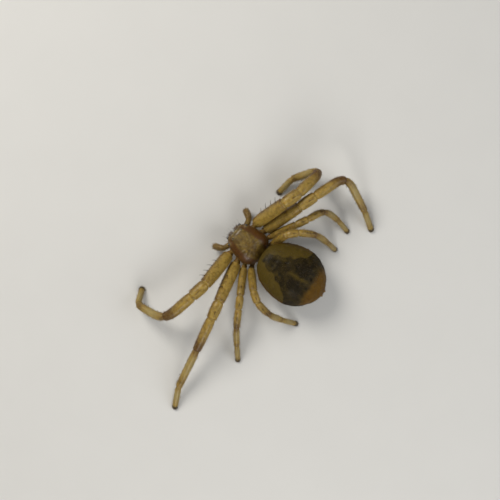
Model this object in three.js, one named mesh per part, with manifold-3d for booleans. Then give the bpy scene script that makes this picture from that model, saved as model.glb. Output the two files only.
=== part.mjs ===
// A crab spider at life size, standing on a flat floor with its long front legs spread.
// Millimetres, +Z up. The spider faces -Y, so its own left side is +X.
// Body forms are lofted along Y and limbs are swept along rounded paths.
import * as THREE from "three";
import { mergeVertices } from "three/addons/utils/BufferGeometryUtils.js";
import Module from "manifold-3d";

const wasm = await Module();
wasm.setup();

// Driving sizes
const GAP = 0.05; // between neighbouring pieces
const FLOOR = 0; // level of every foot's flat

const CARAPACE = { length: 2.18, width: 2.06, rimHeight: 1.04, dome: 0.7, belly: 0.05, front: -0.98 };
const STERNUM = { length: 1.44, width: 1.0, bottom: 0.42, middleY: 0.2 };
const ABDOMEN = { length: 4.05, width: 3.32, rise: 1.15, drop: 1.12, middleHeight: 1.5, widestAt: 0.55 };
const ABDOMEN_ROOT = { x: 0, y: 1.05, yaw: 9.6 }; // front end of the abdomen, and its swing to the right
const PEDICEL = { radius: 0.12, from: [0, 0.98, 0.72], to: [-0.03, 1.5, 0.86] };
const SPINNERETS = { length: 0.36, radius: 0.24, height: 1.13 };
const CHELICERA = { length: 0.62, width: 0.42, depth: 0.44 };

// Lengths of femur, patella, tibia, metatarsus and tarsus, and the thickest radius of each
const LEG_SIZES = {
  1: { lengths: [2.65, 1.0, 2.15, 2.05, 1.25], radii: [0.36, 0.33, 0.31, 0.23, 0.18], coxa: 0.215 },
  2: { lengths: [2.7, 1.05, 2.15, 2.45, 1.4], radii: [0.335, 0.305, 0.28, 0.215, 0.175], coxa: 0.215 },
  3: { lengths: [1.85, 0.75, 1.25, 1.15, 1.05], radii: [0.225, 0.21, 0.2, 0.17, 0.15], coxa: 0.165 },
  4: { lengths: [1.85, 0.7, 1.25, 1.1, 1.05], radii: [0.225, 0.21, 0.2, 0.17, 0.15], coxa: 0.165 },
};
const SEGMENTS = ["femur", "patella", "tibia", "metatarsus", "tarsus"];

// Where each coxa leaves the sternum, as an angle round it, and where its trochanter ends
const LEG_ROOTS = {
  1: { sternumAngle: 40, forward: 0.34, out: 1.2, height: 0.78 },
  2: { sternumAngle: 9, forward: -0.3, out: 1.28, height: 0.76 },
  3: { sternumAngle: -20, forward: -0.79, out: 1.19, height: 0.72 },
  4: { sternumAngle: -53, forward: -1.15, out: 0.95, height: 0.72 },
};
const COXA_HEIGHT = 0.69;

// Pose: the heading of each segment, 0 straight out sideways and 90 forward, and the height of
// its far joint
const TIP_HEIGHT = -0.01;
const POSE = {
  left_1: { headings: [-3, 6, 8, 77, 152], heights: [2.5, 2.44, 1.85, 0.8] },
  left_2: { headings: [-17, -17, -16, -15, -30], heights: [2.2, 2.14, 1.26, 0.56] },
  left_3: { headings: [-34, -34, -34, -43, -45], heights: [1.75, 1.7, 1.08, 0.57] },
  left_4: { headings: [-46, -60, -84, -108, -116], heights: [2.14, 2.1, 1.29, 0.57] },
  right_1: { headings: [-14, -14, -4, 147, 177], heights: [2.7, 2.64, 1.65, 0.56] },
  right_2: { headings: [-15, -15, -15, -110, -117], heights: [2.3, 2.24, 1.75, 0.76] },
  right_3: { headings: [-24, -23, -20, -85, -98], heights: [1.84, 1.8, 1.19, 0.59] },
  right_4: { headings: [-12, -40, -54, -84, -89], heights: [2.37, 2.3, 1.57, 0.85] },
};
// Rounding on each side of a joint, from the trochanter outwards
const BENDS = [0.3, 0.34, 0.34, 0.85, 0.34];

// Eyes of the left side: place along the carapace, angle above its rim, radius. The side eyes
// stand out further, on mounds, both counted in their radius
const EYE_LIFT = { median: 0.15, lateral: 1.3 };
const MOUND_SIZE = 1.75;
const EYES = {
  front_median: { along: -0.985, angle: 58, radius: 0.055 },
  front_lateral: { along: -0.93, angle: 38, radius: 0.08 },
  rear_median: { along: -0.78, angle: 66, radius: 0.05 },
  rear_lateral: { along: -0.68, angle: 37, radius: 0.065 },
};

// Strong spines of the two long pairs of legs, which lean towards the foot
const SPINE = { length: 0.46, rootRadius: 0.035, sides: 5, sunk: 0.1 };
const SPINE_LEAN = { outward: 0.66, onward: 0.75 };
const SPINE_CLEAR = 0.04; // least room between a spine and any other piece
const SPINE_FLOOR = 0.12; // how high over the floor the lowest tips end
// Rows of spines: first and last place as shares of the segment, how many, and the angle round the
// leg, 0 at its front edge, 90 on top and 270 below
const UNDER_ROWS = [
  { segment: "tibia", from: 0.14, to: 0.76, count: 4, angle: 238 },
  { segment: "tibia", from: 0.14, to: 0.76, count: 4, angle: 302 },
  { segment: "metatarsus", from: 0.12, to: 0.86, count: 5, angle: 235 },
  { segment: "metatarsus", from: 0.12, to: 0.86, count: 5, angle: 305 },
  { segment: "patella", from: 0.5, to: 0.5, count: 1, angle: 95 },
];
const SPINE_ROWS = {
  1: [{ segment: "femur", from: 0.36, to: 0.87, count: 4, angle: 20 }, ...UNDER_ROWS],
  2: [{ segment: "femur", from: 0.4, to: 0.7, count: 2, angle: 60 }, ...UNDER_ROWS],
};

const LEG_SIDES = 10;
const BODY_SIDES = 26;

const lerp = THREE.MathUtils.lerp;
const radians = THREE.MathUtils.degToRad;

function material(name, color, roughness) {
  return new THREE.MeshStandardMaterial({ name, color, roughness, metalness: 0 });
}
const SHELL = material("shell", 0x7a5f2c, 0.5);
const LIMB = material("limb", 0xa88f52, 0.45);
const BELLY = material("belly", 0x4d4526, 0.6);
const EYE = material("eye", 0x0d0a08, 0.1);

// Turns a three.js geometry into a closed solid, and back
function solid(geometry) {
  const bare = new THREE.BufferGeometry();
  bare.setAttribute("position", geometry.getAttribute("position"));
  bare.setIndex(geometry.getIndex());
  const merged = mergeVertices(bare, 1e-4);
  return new wasm.Manifold(
    new wasm.Mesh({
      numProp: 3,
      vertProperties: merged.getAttribute("position").array,
      triVerts: new Uint32Array(merged.getIndex().array),
    }),
  );
}

// The largest closed surface of a solid, without the slivers that a cut leaves
function cleaned(shape) {
  const pieces = shape.simplify(0.004).decompose();
  return pieces.reduce((a, b) => (b.volume() > a.volume() ? b : a));
}

function geometryOf(shape) {
  const mesh = cleaned(shape).getMesh();
  const geometry = new THREE.BufferGeometry();
  geometry.setAttribute("position", new THREE.BufferAttribute(mesh.vertProperties, 3));
  geometry.setIndex(new THREE.BufferAttribute(mesh.triVerts, 1));
  return geometry;
}

// Moves every vertex of a geometry to where place(vertex) says
function shaped(geometry, place) {
  const position = geometry.getAttribute("position");
  const vertex = new THREE.Vector3();
  for (let i = 0; i < position.count; i++) {
    vertex.fromBufferAttribute(position, i);
    position.setXYZ(i, ...place(vertex).toArray());
  }
  return geometry;
}

// A closed form along Y: section(along, side, up) gives a point for along from -1 at the
// front to 1 at the back, and for a unit direction across it
function loft(section, sides, rings) {
  const sphere = new THREE.SphereGeometry(1, sides, rings);
  return shaped(sphere, (v) => {
    const across = Math.hypot(v.x, v.z);
    return across < 1e-6
      ? section(Math.sign(v.y), 0, 0)
      : section(v.y, v.x / across, v.z / across);
  });
}

// A closed form along a path between two shares of its length. CylinderGeometry runs from its
// top to its bottom, and its sections are kept level by the world's up direction.
function sweep(path, from, to, radius, sides, rings) {
  const up = new THREE.Vector3(0, 0, 1);
  const cylinder = new THREE.CylinderGeometry(1, 1, 1, sides, rings);
  return shaped(cylinder, (v) => {
    const share = 0.5 - v.y;
    const at = lerp(from, to, share);
    const tangent = path.getTangent(at);
    const level = new THREE.Vector3().crossVectors(up, tangent).normalize();
    const rise = new THREE.Vector3().crossVectors(tangent, level);
    const r = radius(share);
    return path.getPoint(at).addScaledVector(level, v.x * r).addScaledVector(rise, v.z * r);
  });
}

// A path through points, with each corner rounded over its own length on each side
function roundedPath(points, bends) {
  const path = new THREE.CurvePath();
  let start = points[0];
  for (let i = 1; i < points.length - 1; i++) {
    const corner = points[i];
    const back = corner.distanceTo(points[i - 1]);
    const ahead = corner.distanceTo(points[i + 1]);
    const before = corner.clone().lerp(points[i - 1], Math.min(bends[i - 1] / back, 0.48));
    const after = corner.clone().lerp(points[i + 1], Math.min(bends[i - 1] / ahead, 0.48));
    path.add(new THREE.LineCurve3(start, before));
    path.add(new THREE.QuadraticBezierCurve3(before, corner, after));
    start = after;
  }
  path.add(new THREE.LineCurve3(start, points[points.length - 1]));
  return path;
}

// Shares of a rounded path's length at which its corners lie
function cornerShares(path) {
  const lengths = path.getCurveLengths();
  const total = path.getLength();
  return path.curves
    .map((curve, i) => (curve.isQuadraticBezierCurve3 ? (lengths[i] + lengths[i - 1]) / 2 / total : null))
    .filter((share) => share !== null);
}

// Carapace: narrow, blunt head in front, widest behind the middle, sloping at the back
function carapaceHalfWidth(along) {
  const taper = along < 0.45 ? 1 - 0.3 * ((0.45 - along) / 1.45) ** 1.6 : 1;
  const end = along < 0 ? (1 - Math.abs(along) ** 9) ** 0.4 : (1 - along ** 3) ** 0.55;
  return (CARAPACE.width / 2) * taper * end;
}

function carapaceDome(along) {
  const end = along < 0 ? (1 - Math.abs(along) ** 12) ** 0.4 : (1 - along ** 2) ** 0.5;
  const slope = along > 0.1 ? 1 - 0.35 * (along - 0.1) ** 1.5 : 1 - 0.1 * (0.1 - along) ** 2;
  return CARAPACE.dome * slope * end;
}

function carapacePoint(along, side, up) {
  const y = CARAPACE.front + ((along + 1) / 2) * CARAPACE.length;
  const x = carapaceHalfWidth(along) * Math.sign(side) * Math.abs(side) ** 0.9;
  const z = up > 0 ? carapaceDome(along) * up ** 0.85 : CARAPACE.belly * up;
  return new THREE.Vector3(x, y, CARAPACE.rimHeight + z);
}

// Abdomen: a flattened oval, blunt above in front, with an underside that rises to the pedicel
function abdomenShare(share, bluntness) {
  const front = Math.sin((Math.PI / 2) * Math.min(share / ABDOMEN.widestAt, 1)) ** bluntness;
  const back = Math.max(0, (share - ABDOMEN.widestAt) / (1 - ABDOMEN.widestAt));
  return front * Math.max(0, 1 - back ** 1.9) ** 0.6;
}

function abdomenPoint(along, side, up) {
  const share = (along + 1) / 2;
  const x = (ABDOMEN.width / 2) * abdomenShare(share, 0.38) * side;
  const z = up > 0
    ? ABDOMEN.rise * abdomenShare(share, 0.45) * up
    : ABDOMEN.drop * abdomenShare(share, 0.8) * up;
  const lift = 0.38 * Math.max(0, 1 - share / 0.4) ** 1.3 - 0.45 * Math.max(0, share - 0.5) ** 1.5;
  return inAbdomen(x, share * ABDOMEN.length, ABDOMEN.middleHeight + lift + z);
}

// Swings a point of the straight abdomen about its front end
function inAbdomen(x, y, z) {
  const turned = new THREE.Vector3(x, y, z);
  turned.applyAxisAngle(new THREE.Vector3(0, 0, 1), radians(ABDOMEN_ROOT.yaw));
  return turned.add(new THREE.Vector3(ABDOMEN_ROOT.x, ABDOMEN_ROOT.y, 0));
}

function sternumPoint(along, side, up) {
  const round = (1 - along ** 2) ** 0.5;
  const height = CARAPACE.rimHeight - CARAPACE.belly - GAP - STERNUM.bottom;
  const middle = STERNUM.bottom + height / 2;
  return new THREE.Vector3(
    (STERNUM.width / 2) * round * side,
    STERNUM.middleY + (STERNUM.length / 2) * along,
    middle + (height / 2) * Math.min(1, round * 1.6) * Math.sign(up) * Math.abs(up) ** 0.5,
  );
}

// A ball, as a solid
function ball(centre, radius, sides = 10) {
  const sphere = new THREE.SphereGeometry(radius, sides, Math.round(sides * 0.7));
  return solid(sphere.translate(centre.x, centre.y, centre.z));
}

const nodes = new Map();
function addNode(name, shape, finish) {
  nodes.set(name, { shape, finish });
}

// Carapace with its eye mounds and sockets, and the eight eyes
function makeHead() {
  let shell = solid(loft(carapacePoint, BODY_SIDES, 18));
  const balls = [];
  for (const [side, mirror] of [["left", 1], ["right", -1]]) {
    for (const [place, eye] of Object.entries(EYES)) {
      const angle = radians(eye.angle);
      const at = carapacePoint(eye.along, mirror * Math.cos(angle), Math.sin(angle));
      const isLateral = place.endsWith("lateral");
      if (isLateral) shell = shell.add(ball(at, eye.radius * MOUND_SIZE));
      const inner = new THREE.Vector3(0, CARAPACE.front + CARAPACE.length / 2, CARAPACE.rimHeight);
      const outward = at.clone().sub(inner).normalize();
      const lift = isLateral ? EYE_LIFT.lateral : EYE_LIFT.median;
      const centre = at.clone().addScaledVector(outward, eye.radius * lift);
      balls.push({ name: `eye_${place}_${side}`, centre, radius: eye.radius });
    }
  }
  for (const eye of balls) {
    shell = shell.subtract(ball(eye.centre, eye.radius + GAP * 0.7));
    addNode(eye.name, ball(eye.centre, eye.radius), EYE);
  }
  addNode("carapace", shell, SHELL);
}

function makeUnderside() {
  addNode("sternum", solid(loft(sternumPoint, 20, 10)), SHELL);
}

// Chelicerae hang from the front edge of the carapace, with a folded fang
function makeChelicerae() {
  const top = CARAPACE.rimHeight - CARAPACE.belly - GAP;
  for (const [side, mirror] of [["left", 1], ["right", -1]]) {
    const x = mirror * (CHELICERA.width / 2 + GAP / 2);
    const y = CARAPACE.front + CHELICERA.depth / 2 - 0.07;
    const path = new THREE.CatmullRomCurve3([
      new THREE.Vector3(x, y, top),
      new THREE.Vector3(x, y - 0.04, top - CHELICERA.length * 0.5),
      new THREE.Vector3(x * 0.92, y + 0.05, top - CHELICERA.length),
    ]);
    const block = new THREE.CylinderGeometry(1, 1, 1, 12, 7);
    const body = shaped(block, (v) => {
      const share = 0.5 - v.y;
      const size = share < 0.75 ? 1 - 0.12 * share : 0.91 * (1 - ((share - 0.75) / 0.27) ** 2) ** 0.5;
      const at = path.getPoint(share);
      return at.add(
        new THREE.Vector3((CHELICERA.width / 2) * size * v.x, (CHELICERA.depth / 2) * size * -v.z, 0),
      );
    });
    addNode(`chelicera_${side}`, solid(body), SHELL);
  }
}

// Radius along a limb segment: a soft swell with a slight waist at each joint
function segmentRadius(thickest, nextThickest) {
  return (share) => {
    const size = lerp(thickest, (thickest + nextThickest) / 2, share);
    const waist = 0.24 * Math.exp(-share / 0.1) + 0.14 * Math.exp(-(1 - share) / 0.1);
    return size * (1 - waist);
  };
}

// Radius along a tarsus: slim, with a soft tuft at its blunt tip
function tarsusRadius(thickest) {
  return (share) => {
    const body = thickest * (1 - 0.16 * share - 0.14 * Math.exp(-share / 0.1));
    const tip = Math.max(0, (share - 0.86) / 0.14);
    return body * Math.sqrt(1 - 0.93 * tip ** 2);
  };
}

function legPoints(side, number) {
  const mirror = side === "left" ? 1 : -1;
  const root = LEG_ROOTS[number];
  const pose = POSE[`${side}_${number}`];
  const heights = [...pose.heights, TIP_HEIGHT];
  const points = [new THREE.Vector3(mirror * root.out, -root.forward, root.height)];
  LEG_SIZES[number].lengths.forEach((length, i) => {
    const last = points[points.length - 1];
    const rise = heights[i] - last.z;
    const run = Math.sqrt(length ** 2 - rise ** 2);
    const heading = radians(pose.headings[i]);
    points.push(
      new THREE.Vector3(
        last.x + mirror * run * Math.cos(heading),
        last.y - run * Math.sin(heading),
        heights[i],
      ),
    );
  });
  return points;
}

function coxaStart(side, number) {
  const mirror = side === "left" ? 1 : -1;
  const angle = radians(LEG_ROOTS[number].sternumAngle);
  return new THREE.Vector3(
    mirror * (STERNUM.width / 2) * Math.cos(angle),
    STERNUM.middleY - (STERNUM.length / 2) * Math.sin(angle),
    COXA_HEIGHT,
  );
}

function makeLeg(side, number) {
  const sizes = LEG_SIZES[number];
  const { path, shares } = legPath(side, number);
  const half = GAP / 2 / path.getLength();

  const coxaRadius = (share) => {
    const barrel = share < 0.72 ? 0.72 + 0.28 * Math.sin((Math.PI * share) / 0.72) : 0.78;
    const neck = share >= 0.72 ? 0.05 * Math.sin((Math.PI * (share - 0.72)) / 0.28) : 0;
    return sizes.coxa * (barrel + neck);
  };
  const coxa = solid(sweep(path, 0, shares[1] - half, coxaRadius, LEG_SIDES, 7));
  addNode(`leg_${side}_${number}_coxa`, coxa, LIMB);

  // The patella and tibia move as one rod, so they share a node with a waist between them
  const spans = [[0], [1, 2], [3], [4]];
  for (const span of spans) {
    const names = span.map((i) => SEGMENTS[i]).join("_");
    const from = shares[span[0] + 1] + half;
    const last = span[span.length - 1];
    const to = shares[last + 2] - (last < 4 ? half : 0);
    const ends = [...span.map((i) => shares[i + 1]), shares[last + 2]];
    const radius = (share) => {
      const at = lerp(from, to, share);
      const k = ends.length > 2 && at > ends[1] ? 1 : 0;
      const local = THREE.MathUtils.clamp((at - ends[k]) / (ends[k + 1] - ends[k]), 0, 1);
      const i = span[k];
      if (i === 4) return tarsusRadius(sizes.radii[4])(local);
      return segmentRadius(sizes.radii[i], sizes.radii[i + 1])(local);
    };
    const rings = span.length > 1 ? 16 : 10;
    let body = solid(sweep(path, from, to, radius, LEG_SIDES, rings));
    if (last === 4) body = body.subtract(underFloor);
    addNode(`leg_${side}_${number}_${names}`, body, LIMB);
  }
}

// A leg's path, with the shares of its length at which its joints lie
function legPath(side, number) {
  const joints = legPoints(side, number);
  const start = coxaStart(side, number);
  const outward = joints[0].clone().sub(start).normalize();
  start.addScaledVector(outward, GAP * 1.8);
  const path = roundedPath([start, ...joints], BENDS);
  return { path, shares: [0, ...cornerShares(path), 1] };
}

// A spine as a slim cone, from inside the leg to its tip, or nothing where it would reach the floor
function spine(side, number, row, local) {
  const { path, shares } = legPath(side, number);
  const i = SEGMENTS.indexOf(row.segment);
  const radii = LEG_SIZES[number].radii;
  const at = lerp(shares[i + 1], shares[i + 2], local);
  const tangent = path.getTangent(at);
  const level = new THREE.Vector3(0, 0, 1).cross(tangent).normalize();
  const rise = new THREE.Vector3().crossVectors(tangent, level);
  const angle = radians(row.angle);
  const mirror = side === "left" ? -1 : 1;
  const outward = level.multiplyScalar(mirror * Math.cos(angle)).addScaledVector(rise, Math.sin(angle));
  const way = outward.clone().multiplyScalar(SPINE_LEAN.outward);
  way.addScaledVector(tangent, SPINE_LEAN.onward).normalize();
  const surface = segmentRadius(radii[i], radii[i + 1])(local);
  const root = path.getPoint(at).addScaledVector(outward, surface).addScaledVector(way, -SPINE.sunk);
  const length = SPINE.sunk + SPINE.length;
  if (root.z + way.z * length < FLOOR + SPINE_FLOOR) return null;
  const cone = new THREE.ConeGeometry(SPINE.rootRadius, length, SPINE.sides);
  cone.translate(0, length / 2, 0);
  cone.applyQuaternion(new THREE.Quaternion().setFromUnitVectors(new THREE.Vector3(0, 1, 0), way));
  return solid(cone.translate(root.x, root.y, root.z));
}

// Spines are fused to the segment they grow from. One that would come too near another piece is left off
function makeSpines(side, number) {
  for (const row of SPINE_ROWS[number]) {
    const part = ["patella", "tibia"].includes(row.segment) ? "patella_tibia" : row.segment;
    const name = `leg_${side}_${number}_${part}`;
    for (let k = 0; k < row.count; k++) {
      const local = row.count > 1 ? lerp(row.from, row.to, k / (row.count - 1)) : row.from;
      const made = spine(side, number, row, local);
      const tooNear = ([other, { shape }]) =>
        other !== name && made.minGap(shape, SPINE_CLEAR) < SPINE_CLEAR;
      if (!made || [...nodes].some(tooNear)) continue;
      nodes.get(name).shape = nodes.get(name).shape.add(made);
    }
  }
}

// Everything below the floor, cut away so that each foot stands on a small flat
const underFloor = solid(new THREE.BoxGeometry(40, 40, 4).translate(0, 0, FLOOR - 2));

function makePalp(side, mirror) {
  const path = roundedPath(
    [
      new THREE.Vector3(mirror * 0.62, -0.7, 0.7),
      new THREE.Vector3(mirror * 1.0, -0.72, 0.8),
      new THREE.Vector3(mirror * 1.22, -0.98, 0.78),
      new THREE.Vector3(mirror * 1.36, -1.34, 0.42),
    ],
    [0.18, 0.18],
  );
  const [elbow] = cornerShares(path);
  const half = GAP / 2 / path.getLength();
  const upper = (share) => {
    const waist = 0.25 * Math.exp(-share / 0.12) + 0.15 * Math.exp(-(1 - share) / 0.12);
    return 0.135 * (1 - waist);
  };
  const lower = (share) => {
    const swell = 0.14 + 0.025 * Math.sin(Math.PI * share) - 0.02 * Math.exp(-share / 0.1);
    const tip = Math.max(0, (share - 0.8) / 0.2);
    return swell * Math.sqrt(1 - 0.9 * tip ** 2);
  };
  addNode(`palp_${side}_femur`, solid(sweep(path, 0, elbow - half, upper, 9, 8)), LIMB);
  addNode(`palp_${side}_tarsus`, solid(sweep(path, elbow + half, 1, lower, 9, 12)), LIMB);
}

// The abdomen hangs from its stalk, and ends in a cluster of spinnerets
function makeAbdomen() {
  const belly = solid(loft(abdomenPoint, BODY_SIDES + 4, 22));
  const stalk = new THREE.LineCurve3(
    new THREE.Vector3(...PEDICEL.from),
    new THREE.Vector3(...PEDICEL.to),
  );
  addNode("pedicel", solid(sweep(stalk, 0, 1, () => PEDICEL.radius, 10, 2)), BELLY);

  const tail = (grow) => (along, side, up) => {
    const y = ABDOMEN.length + SPINNERETS.length * (0.5 * along - 0.42) + grow * along;
    const round = (SPINNERETS.radius + grow) * (1 - Math.abs(along) ** 2.5) ** 0.5;
    return inAbdomen(round * side, y, SPINNERETS.height + round * 0.8 * up);
  };
  const socket = solid(loft(tail(GAP), 14, 8));
  addNode("abdomen", belly.subtract(socket), BELLY);
  addNode("spinnerets", solid(loft(tail(0), 14, 8)), BELLY);
}

makeHead();
makeUnderside();
makeChelicerae();
for (const side of ["left", "right"]) {
  for (const number of [1, 2, 3, 4]) makeLeg(side, number);
  makePalp(side, side === "left" ? 1 : -1);
}
makeAbdomen();
for (const side of ["left", "right"]) {
  for (const number of [1, 2]) makeSpines(side, number);
}

const spider = new THREE.Group();
spider.name = "crab_spider";
for (const [name, { shape, finish }] of nodes) {
  const mesh = new THREE.Mesh(geometryOf(shape), finish);
  mesh.name = name;
  spider.add(mesh);
}

// The origin lies on the floor under the middle of the whole animal
const box = new THREE.Box3().setFromObject(spider);
const middle = box.getCenter(new THREE.Vector3());
spider.position.set(-middle.x, -middle.y, -FLOOR);

export default spider;
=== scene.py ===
# A crab spider at life size, laid out as an add-on: each operator makes one group of its pieces.
# Sizes are in millimetres in the spider's own frame, and become metres when a mesh is made.
import math

import bpy
import numpy as np
from mathutils import Matrix, Vector, noise


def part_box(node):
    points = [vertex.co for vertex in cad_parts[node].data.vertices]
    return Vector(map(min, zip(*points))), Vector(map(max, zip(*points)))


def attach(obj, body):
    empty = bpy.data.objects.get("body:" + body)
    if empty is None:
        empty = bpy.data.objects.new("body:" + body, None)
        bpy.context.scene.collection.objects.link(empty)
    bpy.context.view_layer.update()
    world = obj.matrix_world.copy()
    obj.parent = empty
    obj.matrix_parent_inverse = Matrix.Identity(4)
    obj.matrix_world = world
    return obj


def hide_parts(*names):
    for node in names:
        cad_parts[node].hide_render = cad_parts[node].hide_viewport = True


bl_info = {
    "name": "Crab spider",
    "version": (1, 0, 0),
    "blender": (4, 5, 0),
    "location": "View3D > Sidebar > Spider",
    "description": "Makes the pieces of a life-size crab spider and its stage",
    "category": "Add Mesh",
}

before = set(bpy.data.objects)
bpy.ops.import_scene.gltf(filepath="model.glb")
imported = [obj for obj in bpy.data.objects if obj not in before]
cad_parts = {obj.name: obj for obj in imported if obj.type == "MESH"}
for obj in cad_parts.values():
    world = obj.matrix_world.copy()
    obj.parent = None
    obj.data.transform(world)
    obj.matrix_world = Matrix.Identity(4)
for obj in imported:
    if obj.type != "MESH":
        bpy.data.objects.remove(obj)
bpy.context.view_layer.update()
MM = 0.001
BODY = "root"

# Driving sizes, as in the part: the carapace, sternum and abdomen, and where the abdomen starts
CARAPACE_LENGTH = 2.18
CARAPACE_WIDTH = 2.06
CARAPACE_FRONT = -0.98
RIM_HEIGHT = 1.04
DOME = 0.7
STERNUM_MIDDLE_Y = 0.2
STERNUM_BOTTOM = 0.42
ABDOMEN_LENGTH = 4.05
ABDOMEN_WIDTH = 3.32
ABDOMEN_RISE = 1.15
ABDOMEN_DROP = 1.12
ABDOMEN_MIDDLE = 1.5
ABDOMEN_WIDEST = 0.55
ABDOMEN_ROOT_Y = 1.05
ABDOMEN_YAW = math.radians(9.6)
SPINNERET_HEIGHT = 1.13
CARAPACE_BELLY = 0.05
GAP = 0.05  # between neighbouring pieces
STERNUM_LENGTH = 1.44
STERNUM_WIDTH = 1.0
WAIST_RADIUS = 0.12
JAW_LENGTH = 0.62
JAW_WIDTH = 0.42
JAW_DEPTH = 0.44
JAW_TOP = 0.94

# Lengths and thickest radii of the leg segments: femur, patella, tibia, metatarsus and tarsus
LEG_LENGTHS = {
    1: (2.65, 1.0, 2.15, 2.05, 1.25),
    2: (2.7, 1.05, 2.15, 2.45, 1.4),
    3: (1.85, 0.75, 1.25, 1.15, 1.05),
    4: (1.85, 0.7, 1.25, 1.1, 1.05),
}
LEG_RADII = {
    1: (0.36, 0.33, 0.31, 0.23, 0.18),
    2: (0.335, 0.305, 0.28, 0.215, 0.175),
    3: (0.225, 0.21, 0.2, 0.17, 0.15),
    4: (0.225, 0.21, 0.2, 0.17, 0.15),
}
COXA_RADII = {1: 0.215, 2: 0.215, 3: 0.165, 4: 0.165}
# Where each leg leaves the sternum, as an angle round it, and where its trochanter ends
LEG_ROOTS = {
    1: {"angle": 40, "forward": 0.34, "out": 1.2, "height": 0.78},
    2: {"angle": 9, "forward": -0.3, "out": 1.28, "height": 0.76},
    3: {"angle": -20, "forward": -0.79, "out": 1.19, "height": 0.72},
    4: {"angle": -53, "forward": -1.15, "out": 0.95, "height": 0.72},
}
COXA_HEIGHT = 0.69
COXA_START = 0.05  # how far outside the sternum a leg's skin starts
TROCHANTER = 0.72  # share of a leg's first stretch at which the coxa ends
TIP_HEIGHT = -0.01
# Headings of the segments, 0 straight out and 90 forward, and heights of their far joints
POSE = {
    "left_1": ((-3, 6, 8, 77, 152), (2.5, 2.44, 1.85, 0.8)),
    "left_2": ((-17, -17, -16, -15, -30), (2.2, 2.14, 1.26, 0.56)),
    "left_3": ((-34, -34, -34, -43, -45), (1.75, 1.7, 1.08, 0.57)),
    "left_4": ((-46, -60, -84, -108, -116), (2.14, 2.1, 1.29, 0.57)),
    "right_1": ((-14, -14, -4, 147, 177), (2.7, 2.64, 1.65, 0.56)),
    "right_2": ((-15, -15, -15, -110, -117), (2.3, 2.24, 1.75, 0.76)),
    "right_3": ((-24, -23, -20, -85, -98), (1.84, 1.8, 1.19, 0.59)),
    "right_4": ((-12, -40, -54, -84, -89), (2.37, 2.3, 1.57, 0.85)),
}
STRONG_LEGS = (1, 2)
LIMB_DEPTH = 1.03  # how deep a limb is for its width
# Rounding on each side of a joint, from the trochanter outwards
BENDS = (0.3, 0.34, 0.34, 0.85, 0.34)
PALP_PATH = ((0.62, -0.7, 0.7), (1.0, -0.72, 0.8), (1.22, -0.98, 0.78), (1.36, -1.34, 0.42))
PALP_BENDS = (0.18, 0.18)
SIDES = {"left": 1, "right": -1}
EYE_PLACES = ("front_median", "front_lateral", "rear_median", "rear_lateral")
LEG_NODES = ("coxa", "femur", "patella_tibia", "metatarsus", "tarsus")

# The photograph's view, from straight above: what the middle of the picture looks at, which way
# is up in it, and how much of the spider's ground it spans
VIEW_MIDDLE = Vector((0.183, 0.381, 1.6))
VIEW_UP = Vector((-0.7525, -0.6581, 0.0))
VIEW_SPAN = 27.8
VIEW_DISTANCE = 90.0


def frame_origin():
    """Where the spider's own origin lies in the frame, found from the sternum's box."""
    low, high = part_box("sternum")
    return Vector((
        (low.x + high.x) / 2,
        (low.y + high.y) / 2 - STERNUM_MIDDLE_Y * MM,
        low.z - STERNUM_BOTTOM * MM,
    ))


ORIGIN = frame_origin()


def metres(name, description, default):
    return bpy.props.FloatProperty(
        name=name, description=description, default=default, unit="LENGTH", precision=6)


def colour(name, description, default):
    return bpy.props.FloatVectorProperty(
        name=name, description=description, default=default, size=4, min=0, max=1, subtype="COLOR")


class SpiderSizes(bpy.types.PropertyGroup):
    """Fine sizes of the spider's surface and bristles, in metres."""

    leg_hair_length: metres("Leg hair length", "Length of the fine hairs on the legs", 0.00013)
    body_hair_length: metres("Body bristle length", "Length of the bristles on the abdomen", 0.00015)
    hair_thickness: metres("Hair thickness", "Thickness of a fine hair at its root", 0.0000085)
    spine_length: metres("Spine length", "Length of the strong spines on the front legs", 0.00046)
    spine_thickness: metres("Spine thickness", "Thickness of a strong spine at its root", 0.000055)
    wrinkle_depth: metres("Wrinkle depth", "Depth of the abdomen's folds", 0.000018)


class SpiderColours(bpy.types.PropertyGroup):
    """The spider's own colours."""

    straw: colour("Leg straw", "Main colour of the legs", (0.34, 0.225, 0.045, 1))
    straw_dark: colour("Leg olive", "Darker mottling of the legs", (0.2, 0.125, 0.02, 1))
    brown: colour("Leg brown", "Bands near the leg joints", (0.075, 0.03, 0.004, 1))
    tan: colour("Carapace tan", "Middle of the carapace", (0.09, 0.052, 0.009, 1))
    chestnut: colour("Carapace chestnut", "Side bands of the carapace", (0.085, 0.026, 0.003, 1))
    rim: colour("Carapace rim", "Pale lines round the eyes and rim", (0.34, 0.27, 0.11, 1))
    folium: colour("Abdomen dark", "Dark figure on the abdomen", (0.01, 0.0065, 0.001, 1))
    olive: colour("Abdomen olive", "Pale margin and streak of the abdomen", (0.075, 0.05, 0.007, 1))
    rust: colour("Abdomen rust", "Rear end of the abdomen", (0.16, 0.075, 0.005, 1))
    bristle: colour("Bristle", "Spines and dark bristles", (0.035, 0.018, 0.008, 1))
    hair: colour("Hair", "Fine hairs", (0.36, 0.25, 0.1, 1))
    eye: colour("Eye", "Lenses of the eyes", (0.008, 0.005, 0.004, 1))


class SpiderStage(bpy.types.PropertyGroup):
    """The floor and the lights."""

    floor: colour("Floor", "Colour of the floor", (0.62, 0.61, 0.58, 1))
    key_power: bpy.props.FloatProperty(
        name="Key power", description="Power of the large main light", default=0.058, unit="POWER")
    fill_power: bpy.props.FloatProperty(
        name="Fill power", description="Power of the soft fill light", default=0.02, unit="POWER")
    sky_strength: bpy.props.FloatProperty(
        name="Sky strength", description="Strength of the even light all round", default=0.22)


def sizes():
    return bpy.context.scene.spider_sizes


def colours():
    return bpy.context.scene.spider_colours


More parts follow.
